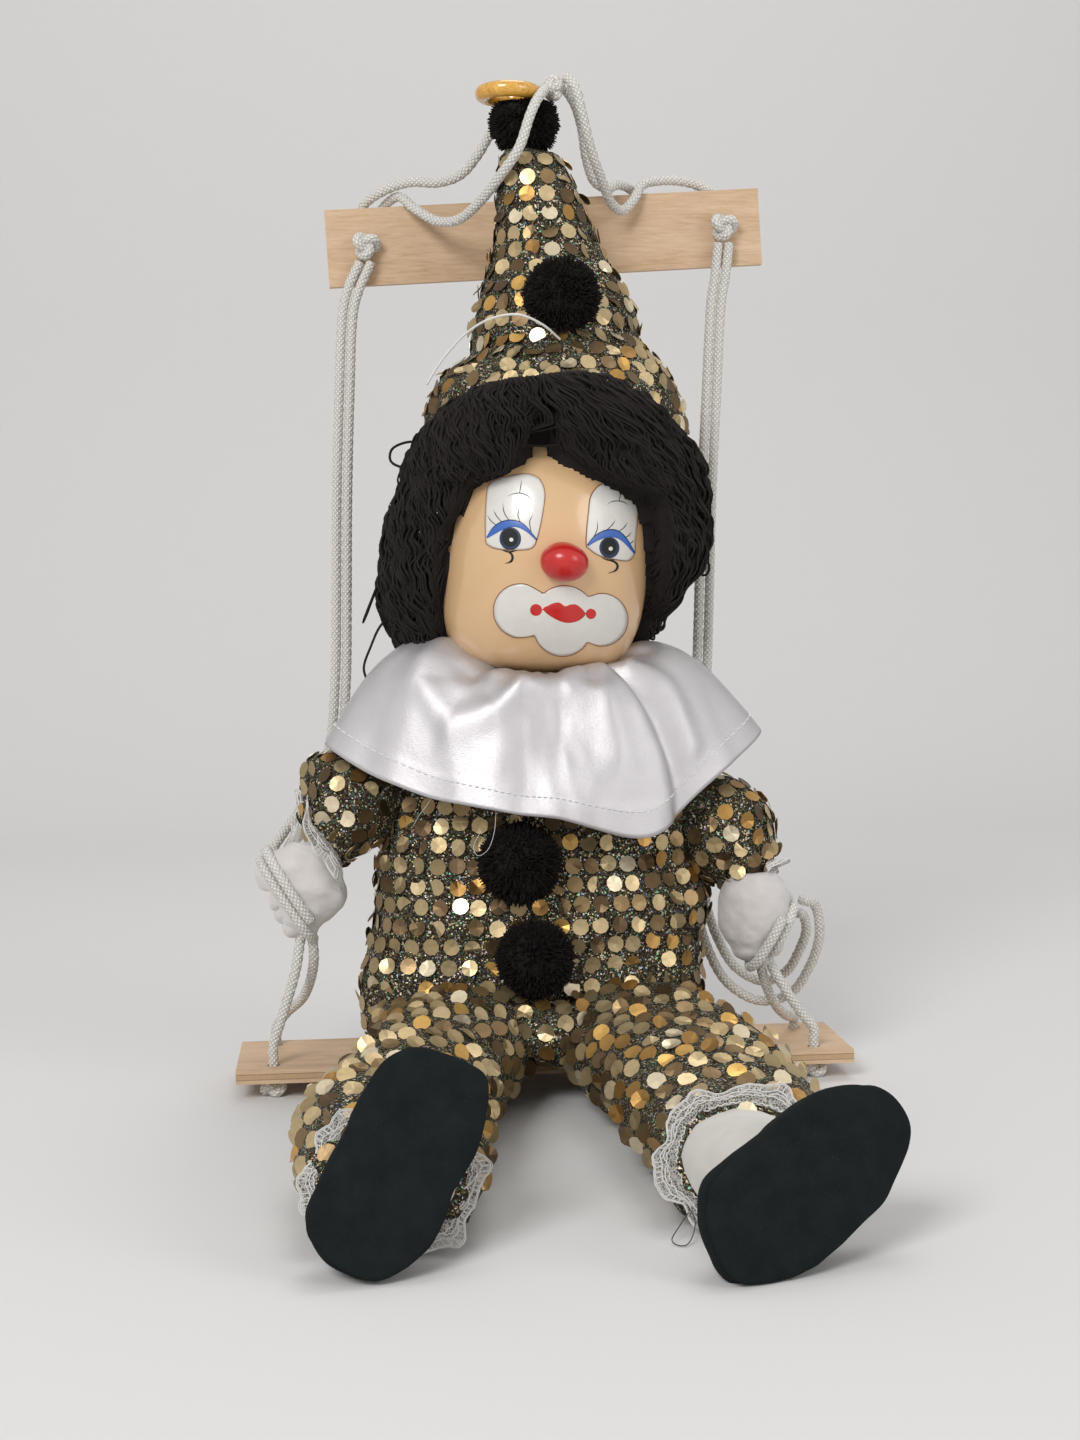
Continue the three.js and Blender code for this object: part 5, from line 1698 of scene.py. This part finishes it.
wig = {
    "stations": [  # the outer surface: middle x and y, height, half width and half depth
        (-1.2, 6, 139, 43.5, 32), (-3, 5, 148, 45.5, 35), (-1, 4, 154, 48.5, 38),
        (1.6, 2.5, 162, 50.5, 42), (3.8, 1.5, 170, 51.5, 43.5), (5.2, 0.5, 180, 50.5, 44.5),
        (6.2, -0.5, 190, 48, 45), (7, -1.5, 200, 46, 45), (7.5, -2, 208, 44.5, 44.5),
        (7.6, -2.5, 214, 43, 43.5), (7.6, -2.5, 220, 41, 42), (7.6, -2.5, 227, 37, 39.5),
    ],
    "inset": 3.5,  # how far the cap is inside it
    "wrinkles": (7, 1.2),
    "yarn": 0.43,
    "lint": 46,
    "crimp": (0.75, 9),  # how far the yarn waves, and each wave's length
    "curl": (2.6, 25),  # the same for a whole lock
    "step": 1.5,
    "parting": -13,
    "roll": (6.5, 13, 1.4),  # how deep the hair tucks in at its edge, how wide, and its curve
    "top": 208.6,  # of the opening for the face
    "side": 100,  # the bearing where front hair ends
    "fingers": 5.6,  # a lock's width
    "ends": {"left": 139, "right": 144, "back": 146, "front_left": 141, "front_right": 147},
    "hanging": {"lifts": (-2.6, -1.2, 0), "count": 40, "from": 62, "span": 228},
    "combed": {"count": 24, "reach": {"front_left": 58, "front_right": 56}, "sweep": (50, 14)},
    "beside": [  # bearing and how far it goes on, sweep, and the height of the ends
        ("front_left", -62, 36, (-14, -6), (138, 146)),
        ("front_right", 60, -38, (6, 14), (141, 150)),
    ],
    # the hairline round the face: height, then where its left and right edges are
    "hairline": [
        (139, -32.4, 40), (152, -33, 39.4), (163, -32, 38.8), (171, -31, 38.4), (177, -29.4, 37.8),
        (184, -25.4, 36.6), (188, -24, 34), (190.6, -23, 27.6), (193, -21, 21),
        (195, -12.4, 17.4), (198, -9, 12), (201.5, -6.6, 7.4), (204.5, -5.2, 3.2), (208.6, -3, -1),
    ],
    # how high the hair stands in front of the hat, by bearing from the front
    "crest": [
        (-180, 203), (-100, 203), (-90, 206), (-76, 209.7), (-46, 219.6), (-30, 222.6), (-5, 225.5),
        (8, 225.2), (16, 223.4), (26, 219.8), (38, 214.6), (55, 207), (70, 204), (100, 203),
        (180, 203),
    ],
    "strays": [  # loose loops of yarn
        [(-36, -4, 206.6), (-41.5, -5, 207), (-46.8, -5, 204.6), (-47.2, -5, 200.8),
         (-43, -5, 198.6), (-38.6, -4, 198.4)],
        [(-45, 0, 172), (-50.5, -2, 164), (-55, -3, 154), (-57.6, -3, 147.6), (-56.4, -3, 150),
         (-52.6, -2, 159), (-47, 0, 168)],
        [(-46, 0, 150), (-51, -2, 147.6), (-55, -3, 140), (-57.4, -3, 133), (-56.2, -3, 128.4)],
        [(52, 0, 176), (56.6, 0, 171), (58.8, 0, 164), (57.4, 0, 161.8), (53, 0, 164.6)],
        [(-33, -8, 148), (-38, -9, 139), (-37, -10, 136.6), (-34, -9, 140)],
    ],
}


def lookUp(rows, key, column=1):  # the value between the rows of a table
    key = clamp(key, rows[0][0], rows[-1][0])
    i = max(j for j in range(len(rows) - 1) if rows[j][0] <= key)
    share = (key - rows[i][0]) / (rows[i + 1][0] - rows[i][0])
    return mixed(rows[i][column], rows[i + 1][column], share)


def wigOval(z):
    rows = [(s[2], s[0], s[1], s[3], s[4]) for s in wig["stations"]]
    return [lookUp(rows, z, column) for column in (1, 2, 3, 4)]


def wigPoint(bearing, z, lift):  # bearing in degrees from the front, positive to the right
    x, y, a, b = wigOval(z)
    turn = radians(bearing)
    return Vector((x + (a + lift) * sin(turn), y - (b + lift) * cos(turn), z))


def hairEdge(z, side, lift=0):  # the bearing of the hairline at a height
    edge = lookUp(wig["hairline"], z, 1 if side < 0 else 2)
    x, _, a, _ = wigOval(z)
    return degrees(asin(clamp((edge - x) / (a + lift), -0.98, 0.98)))


def hairlineOver(side):  # the hairline's height by its distance across, on one side
    column = 1 if side < 0 else 2
    return sorted((row[column], row[0]) for row in wig["hairline"][4:])


def tuckIn(turn, z, side):  # how far the hair rolls in beside the hairline
    if abs(turn) > wig["side"]:
        return 0
    depth, width, curve = wig["roll"]
    x, _, a, _ = wigOval(z)
    rows = hairlineOver(side)
    at = x + a * sin(radians(turn))
    above = z - lookUp(rows, at)
    past = max(0, rows[0][0] - at, at - rows[-1][0])
    beside = max(0, (turn - hairEdge(z, side)) * side * 0.8) if z < wig["top"] else 99
    near = min(99 if above < 0 else hypot(above, past), beside)
    return depth * max(0, 1 - near / width) ** curve


def sideOf(bearing):  # which edge of the face opening it is nearer to
    return -1 if bearing < wig["parting"] + 8 else 1


def crestAt(bearing):
    return lookUp(wig["crest"], (bearing + 180) % 360 - 180)


def makeCap():
    bm = bmesh.new()
    inset = wig["inset"]
    shape = makeShape([(x, y, z, a - inset, b - inset) for x, y, z, a, b in wig["stations"]
                       if z < 221], right, back, caps=(4, 5))
    loft(bm, shape, 112, 72)
    centre = Vector(head["centre"])
    for vert in bm.verts:
        x, y, a, b = wigOval(vert.co.z)
        bearing = degrees(atan2((vert.co.x - x) / a, -(vert.co.y - y) / b))
        margin = mixed(9, 4.5, eased((vert.co.z - 198) / 8))
        low, high = hairEdge(vert.co.z, -1) - margin, hairEdge(vert.co.z, 1) + margin
        if vert.co.z < 216 and low < bearing < high:
            hit = headTree.ray_cast(centre, (vert.co - centre).normalized())[0]
            vert.co = centre + (hit - centre) * 0.93
        else:
            side = sideOf(bearing)
            outward = Vector((sin(radians(bearing)), -cos(radians(bearing)), 0))
            vert.co -= outward * tuckIn(bearing, vert.co.z, side)
    crumple(bm, wig["wrinkles"])
    makePiece("wig_cap", bm, looks["yarn"], "head", "black_yarn", ["wig"])


def lockPath(lock, offset, swell):  # one strand of a lock, from under the hat to its end
    start, sweep, bottom, lift, phases = lock
    crest = crestAt(start)
    rise = 0.1 if abs(start) < wig["side"] else 0.02
    count = max(10, round((crest - bottom + abs(sweep) * 0.5) * 1.15 / wig["step"]))
    (crimp, crimpLength), (curl, curlLength) = wig["crimp"], wig["curl"]
    path = []
    for i in range(count + 1):
        t = i / count
        turn = start + sweep * sin(pi / 2 * t ** 0.9)
        climb = eased(t / rise)
        fall = max(0, (t - rise) / (1 - rise))
        here = mixed(crest, min(crest, crestAt(turn) + 1), eased(t * 2))
        z = mixed(here - 4, mixed(here, bottom, fall ** 1.15), climb)
        side = sideOf(turn)
        along = i * wig["step"]
        wave, bend = (tau * along / length + phase
                      for length, phase in zip((crimpLength, curlLength), phases))
        shift = offset + crimp * swell * sin(wave) + curl * sin(bend) * eased(t * 3)
        turn += degrees(shift / wigOval(z)[2])
        tuck = tuckIn(turn, z, side)
        if abs(turn) < wig["side"] and z < wig["top"]:  # kept off the face
            edge = hairEdge(z, side, -tuck) * side + 0.4
            over = min(40, (turn * side - edge) / 2.5)
            turn = side * (edge + 2.5 * log(1 + exp(over)) if over < 12 else turn * side)
        bulge = (lift + mixed(-5, 0, eased(t / 0.16)) + 0.5 * crimp * cos(wave)
                 + 0.5 * curl * cos(bend) + 1.5 * sin(pi * t) - 1.6 * t * t
                 + 1.9 * cos(offset / 2.0))
        path.append(wigPoint(turn, z, bulge - tuck * eased(t * 2.5)))
    return path


def loopedPair(first, second, spread):  # two strands joined by a loop at the bottom
    p, q = first[-1], second[-1]
    down = (first[-1] - first[-3]).normalized()
    middle, across = (p + q) / 2, (q - p) / 2
    arc = [middle - across * cos(pi * i / 6) + down * spread * sin(pi * i / 6)
           for i in range(1, 6)]
    return [*first, *arc, *reversed(second)]


def makeLocks():
    locks = {}

    def addLock(part, start, sweep, bottom, lift, loops=4, wide=wig["fingers"]):
        phases = [random.uniform(0, tau) for _ in range(2)]
        for n in range(loops):
            offset = wide * ((n + 0.5) / loops - 0.5)
            low = bottom + random.uniform(-0.4, 0.4) * wide
            ends = []
            for o in (-0.5, 0.5):
                shaken = [phase + random.uniform(-0.45, 0.45) for phase in phases]
                lock = (start + random.uniform(-1, 1), sweep + random.uniform(-1.5, 1.5), low,
                        lift + random.uniform(-0.6, 0.6), shaken)
                ends.append(lockPath(lock, offset + o, random.uniform(0.7, 1.3)))
            locks.setdefault(part, []).append(loopedPair(*ends, random.uniform(1.2, 2.4)))

    hanging, combed, ends = wig["hanging"], wig["combed"], wig["ends"]
    for layer, lift in enumerate(hanging["lifts"]):  # the sides and the back hang down
        for i in range(hanging["count"]):
            place = i + layer / 3 + random.uniform(-0.3, 0.3)
            start = hanging["from"] + hanging["span"] * place / hanging["count"]
            start = start if start < 180 else start - 360
            part = "back" if abs(start) > 105 else "left" if start < 0 else "right"
            addLock(part, start, random.uniform(-6, 6), ends[part] + random.uniform(-3, 5), lift)
    for i in range(combed["count"]):  # combed away from the parting, then down past the face
        share = i / combed["count"]
        for side, part in ((-1, "front_left"), (1, "front_right")):
            away = 1.5 + combed["reach"][part] * i / combed["count"]
            sweep = side * (mixed(*combed["sweep"], share) + random.uniform(-5, 5))
            addLock(part, wig["parting"] + side * away, sweep, ends[part] + random.uniform(-3, 22),
                    random.uniform(-1.2, 0.6), loops=3)
    for i in range(14):  # close beside the face
        for part, start, span, sweep, bottom in wig["beside"]:
            addLock(part, start + span * ((i + 0.5) / 14), random.uniform(*sweep),
                    random.uniform(*bottom), random.uniform(-0.8, 0.8))

    def addFringe(side, away, sweep, higher, wide):
        start = wig["parting"] + side * away
        x, _, a, _ = wigOval(198)
        end = x + a * sin(radians(start + side * sweep))
        addLock("fringe", start, side * sweep, lookUp(hairlineOver(side), end) + higher,
                random.uniform(-0.4, 0.9), wide=wide)

    for side in (-1, 1):
        for i in range(7):  # over the parting
            addFringe(side, 0.3 + 2.1 * i, 0.6 + 1.9 * i, random.uniform(-1.4, 0.2), 4.4)
        for i in range(12):  # the fringe
            sweep = mixed(15, 9, i / 12) + random.uniform(-2, 2)
            addFringe(side, 1 + 38 * i / 12, sweep, random.uniform(-1.2, 1), 6.4)
    locks["strays"] = [route(points, 1.2) for points in wig["strays"]]
    for part, routes in locks.items():
        strands(f"wig_{part}", routes, wig["yarn"], looks["yarn"], fine=0, body="head",
                slot="black_yarn")
    lint = []
    for _ in range(wig["lint"]):  # specks of white fluff caught in the yarn
        spot = Vector(random.choice(random.choice(locks[random.choice(list(locks))])))
        outward = (spot - Vector(head["centre"])).normalized()
        lint.append([spot + outward * 0.3, spot + outward * random.uniform(0.5, 0.8)])
    strands("wig_lint", lint, 0.16, looks["lace"], fine=0, body="head", slot="black_yarn")


makeCap()
makeLocks()
print("wig made")


# Hat

hat = {
    "stations": [
        (9.2, 4, 205, 44.5, 43.5), (8.6, 4.4, 221.5, 42.4, 41), (9.2, 5.4, 237, 31.6, 31),
        (8.8, 7, 254, 24.6, 24), (6.8, 9, 271, 18.4, 18), (4.2, 10.6, 287, 13.6, 13.8),
        (1.8, 12, 302, 9.8, 9.8),
    ],
    "crease": (238, 4.5, 2.2),  # its height, width and depth
    "hem": (205, 228),  # between these heights the cloth is shifted to follow the hair
    "wrinkles": ((26, 2.4), (8, 0.9)),
}


def hatBearing(spot):
    return degrees(atan2(spot.x - 9, 4 - spot.y))


def makeHat():
    bm = bmesh.new()
    at, wide, deep = hat["crease"]
    foot, top = hat["hem"]

    def folds(u, v):
        z = loftPoint(plain, 0, v).z
        sag = 2 * cos(tau * u + 0.6)
        return -deep * exp(-((z - at - sag) / wide) ** 2)

    plain = makeShape(hat["stations"], right, back, caps=(0, 3))
    shape = makeShape(hat["stations"], right, back, caps=(0, 3), folds=folds)
    loft(bm, shape, 128, 110)
    crumple(bm, *hat["wrinkles"])
    for vert in bm.verts:
        if vert.co.z < top:
            hem = crestAt(hatBearing(vert.co)) - 4
            vert.co.z = mixed(hem, top, max(0, vert.co.z - foot) / (top - foot))
    tree = BVHTree.FromBMesh(bm)
    piece = makePiece("hat_cloth", bm, looks["glitter"], "head", "sequin_cloth", ["hat"])
    sewSequins("hat_sequins", tree, shape,
               lambda hit, normal: crestAt(hatBearing(hit)) - 1.5 < hit.z < 303, body="head")


makeHat()
print("hat made")


# Pompoms: cut yarn ends standing out of a round core

pompoms = {
    "tip_pompom": {"centre": (0, 13, 314), "width": 23.6, "body": "head", "roof": 320},
    "hat_pompom": {"centre": (8.4, -21, 252), "width": 25.4, "body": "head"},
    "chest_pompom": {"centre": (-9.6, -35, 71), "width": 27, "body": "swing"},
    "belly_pompom": {"centre": (-5.2, -38, 40.4), "width": 25.4, "body": "swing"},
    "ends": 2400,
    "yarn": 0.3,
    "core": 0.84,  # of the whole radius, and so is the reach of the yarn ends
    "wrinkles": ((3, 1.4), (7, 0.8)),
    "reach": (0.9, 1.04),
    "bend": (0.2, 1.3),
    "thinning": ((0.7, 1), (0.86, 1), (0.96, 0.85), (1, 0.45)),  # thickness by share of the reach
    "turn": 2.399963,  # from one end to the next, in radians
}


def makePompom(name):
    pompom = pompoms[name]
    centre, radius = Vector(pompom["centre"]), pompom["width"] / 2
    roof = pompom.get("roof", 1000)
    bm = bmesh.new()
    bmesh.ops.create_icosphere(bm, subdivisions=4, radius=radius * pompoms["core"])
    bmesh.ops.translate(bm, vec=centre, verts=bm.verts)
    crumple(bm, *pompoms["wrinkles"])
    for vert in bm.verts:
        vert.co.z = min(vert.co.z, roof - 1)
    makePiece(f"{name}_core", bm, looks["fluff"], pompom["body"], "black_yarn", [name])
    routes = []
    count = pompoms["ends"]
    for i in range(count):
        z = 1 - 2 * (i + 0.5) / count
        turn = i * pompoms["turn"] + random.uniform(-0.1, 0.1)
        flat = sqrt(1 - z * z)
        out = Vector((flat * cos(turn), flat * sin(turn), z))
        clump = noise.noise(out * 3.2) * 0.07
        reach = radius * (random.uniform(*pompoms["reach"]) + clump)
        side = Matrix.Rotation(random.uniform(0, 6.28), 3, out) @ out.orthogonal().normalized()
        bend = side * random.uniform(*pompoms["bend"])
        path = []
        for share, thick in pompoms["thinning"]:
            p = centre + out * reach * share + bend * (share - 0.7) ** 2 * 9
            p.z = min(p.z, roof)
            path.append((*p, thick))
        routes.append(path)
    strands(f"{name}_ends", routes, pompoms["yarn"], looks["fluff"], fine=0, body=pompom["body"],
            slot="black_yarn")


for name in [key for key in pompoms if key.endswith("_pompom")]:
    makePompom(name)
print("pompoms made")


# Satin collar: at each bearing from the front, the radius and height at neck, crown and hem

collar = {
    "centre": (1.5, 0),
    "rows": [
        (0, 20, 130, 35.5, 123.5, 47, 86), (18, 20, 130, 37.4, 123.8, 49, 81),
        (38, 20, 130, 39.6, 125.4, 52, 79), (58, 20.5, 130.6, 41.4, 129.4, 55, 90),
        (72, 21, 133, 43, 136, 65, 101),
        (88, 21, 133.5, 45, 137.5, 73, 110), (103, 21, 133.5, 43, 136, 56, 107),
        (125, 21, 133, 40, 132, 49, 101), (150, 20, 132, 37, 128, 46, 96),
        (180, 20, 132, 36, 126, 44, 94), (210, 20, 132, 37, 128, 47, 96),
        (236, 21, 133, 40, 133, 50, 101), (258, 21, 133.5, 43, 138, 60, 106),
        (278, 21, 134, 46, 139.5, 73, 109), (294, 21, 133.5, 44, 137.5, 65, 101),
        (312, 20.2, 132, 39.4, 130, 55, 94), (336, 20, 130.5, 36.6, 124.6, 49.5, 89.5),
    ],
    "thickness": 0.5,
    "stand": (13.6, 115.6),  # the neckband's foot: radius and height
    "pleats": (31, 0.55),  # how many at the neck, and how deep
    "hemBand": 0.92,  # the hem starts at this share of the width
    "hemLift": 0.28,
    "seam": (150, 0.935, 0.2),  # how many stitches, at what share of the width, and their radius
    "waves": [(2.2, 1, (0, 0, 0)), (0.7, 2.4, (5, 1, 9)), (0.22, 6, (2, 7, 3))],
    # single folds: depth and width in mm, and where they run as bearing and share from neck to hem
    "folds": [
        (2.6, 5, ((-60, 0), (-66, 0.3), (-60, 0.62), (-44, 0.74), (-26, 0.6), (-14, 0.4))),
        (-2.8, 4.5, ((-34, -0.05), (-40, 0.2), (-44, 0.42))),
        (-1.8, 8, ((-64, 0.95), (-50, 1.0))),
        (2.4, 8, ((-14, 0.42), (8, 0.36), (24, 0.16))),
        (-2.8, 10, ((-10, 0.84), (4, 0.7), (14, 0.72))),
        (1.8, 6, ((14, 0.96), (26, 0.78), (28, 0.5))),
        (-1.6, 4, ((24, 0.1), (26, 0.24), (24, 0.36))),
        (2.2, 5, ((38, 0.3), (44, 0.6), (48, 0.9))),
        (-6.0, 4.4, ((43, 0.3), (48, 0.55), (52, 0.8), (53, 1.05))),
        (2.6, 3.8, ((56, 0.3), (61, 0.6), (60, 0.86))),
        (-2.6, 3, ((62, 0.02), (68, 0.2), (71, 0.36))),
        (1.4, 8, ((84, 0.3), (82, 0.7), (84, 1.0))),
        (1.4, 9, ((-84, 0.2), (-82, 0.7))),
    ],
}


def foldDepth(bearing, share):  # how far the single folds lift the satin at a spot
    lift = 0
    spot = Vector((bearing * 0.85, share * 60))
    for depth, wide, run in collar["folds"]:
        knots = [Vector((b * 0.85, s * 60)) for b, s in run]
        near = 1e9
        for p, q in zip(knots, knots[1:]):
            along = clamp((spot - p).dot(q - p) / (q - p).length_squared)
            near = min(near, (spot - p.lerp(q, along)).length)
        if near < 3 * wide:
            lift += depth * exp(-(near / wide) ** 2)
    return lift


def collarRow(bearing):
    rows = collar["rows"]
    i = max(j for j in range(len(rows)) if rows[j][0] <= bearing)
    four = [rows[(i + k) % len(rows)] for k in (-1, 0, 1, 2)]
    before, span, after = ((q[0] - p[0]) % 360 for p, q in zip(four, four[1:]))
    t = (bearing - four[1][0]) / span
    values = []
    for a, b, c, d in zip(*(row[1:] for row in four)):
        leaving, arriving = (c - a) * span / (before + span), (d - b) * span / (span + after)
        values.append(b + (3 * t * t - 2 * t ** 3) * (c - b) + t * (1 - t) ** 2 * leaving
                      - t * t * (1 - t) * arriving)
    return values


def collarPoint(u, v):
    bearing = (360 * u) % 360
    neckR, neckZ, crownR, crownZ, hemR, hemZ = collarRow(bearing)
    standR, standZ = collar["stand"]
    share = max(0, (v - 0.1) / 0.9)
    controlR = 2 * crownR - (neckR + hemR) / 2
    controlZ = 2 * crownZ - (neckZ + hemZ) / 2
    r, z = ((1 - share) ** 2 * a + 2 * share * (1 - share) * b + share * share * c
            for a, b, c in ((neckR, controlR, hemR), (neckZ, controlZ, hemZ)))
    if v < 0.1:
        r, z = mixed(standR, neckR, v / 0.1), mixed(standZ, neckZ, v / 0.1)
    turn = radians(bearing)
    pleats, depth = collar["pleats"]
    pleat = sin(turn * pleats + 1.5 * sin(turn * 5)) * (1 - share) ** 5
    lift = depth * pleat * min(1, v / 0.08)
    lift += foldDepth((bearing + 180) % 360 - 180, share) * min(1, v * 5)
    swirl = Vector((1.7 * sin(turn), -1.7 * cos(turn), 1.5 * share))
    for depth, scale, shift in collar["waves"]:
        lift += depth * noise.noise(swirl * scale + Vector(shift)) * min(1, share * 3)
    lift += collar["hemLift"] * eased((share - collar["hemBand"] + 0.01) / 0.02)
    slope = Vector((controlR - neckR + hemR - crownR,
                    neckZ - controlZ + crownZ - hemZ)).normalized()
    lean = eased(share * 1.6)
    r += lift * mixed(0.25, max(0.5, slope.y), lean)
    z += lift * mixed(0.95, 0.45, lean)
    return Vector((collar["centre"][0] + r * sin(turn),
                   collar["centre"][1] - r * cos(turn), z))


def makeCollar():
    bm = bmesh.new()
    wrap(bm, 320, 96, collarPoint, fillEnds=False)
    area = sum(f.calc_area() for f in bm.faces)
    tree = BVHTree.FromBMesh(bm)
    bmesh.ops.solidify(bm, geom=bm.faces[:], thickness=collar["thickness"])
    piece = makePiece("collar_satin", bm, looks["satin"], "swing", "white_satin", ["collar"])
    print("collar cloth", round(area), "square mm")
    stitches = []
    count, share, radius = collar["seam"]
    for i in range(count):
        run = []
        for j in range(4):
            spot = collarPoint((i + 0.62 * j / 3) / count, 0.1 + 0.9 * share)
            hit, normal = tree.find_nearest(spot)[:2]
            outward = normal if normal.z > 0 or normal.xy.dot(spot.xy) > 0 else -normal
            run.append(hit + outward * (0.32 if j in (1, 2) else -0.1))
        stitches.append(run)
    strands("collar_hem_stitches", stitches, radius, looks["stitch"], body="swing",
            slot="white_satin")


makeCollar()
print("collar made")


# Loose threads

threads = {
    "chest_threads": [
        [(-35, -31, 96), (-38, -34, 91), (-41, -33, 87), (-43, -30, 83)],
        [(-17, -40, 90), (-18, -44, 82), (-20.4, -46, 76.6), (-23.4, -46, 75),
         (-24.6, -45, 77.6), (-22, -43, 82.6)],
    ],
    "ankle_thread": [[
        (19.4, -187, 2.4), (21, -189, -0.6), (20, -193, -3.4), (17.4, -197, -5), (15.2, -196, -5),
        (14.4, -194, -4.4), (16.6, -191, -2.2), (19.6, -188, 0.6),
    ]],
}
for name, radius, look, body in (("chest_threads", 0.1, "clearThread", "swing"),
                                 ("ankle_thread", 0.15, "blackThread", "right_leg")):
    strands(name, [route(points, 1) for points in threads[name]], radius, looks[look], body=body,
            slot="white_lace")
print("threads made")
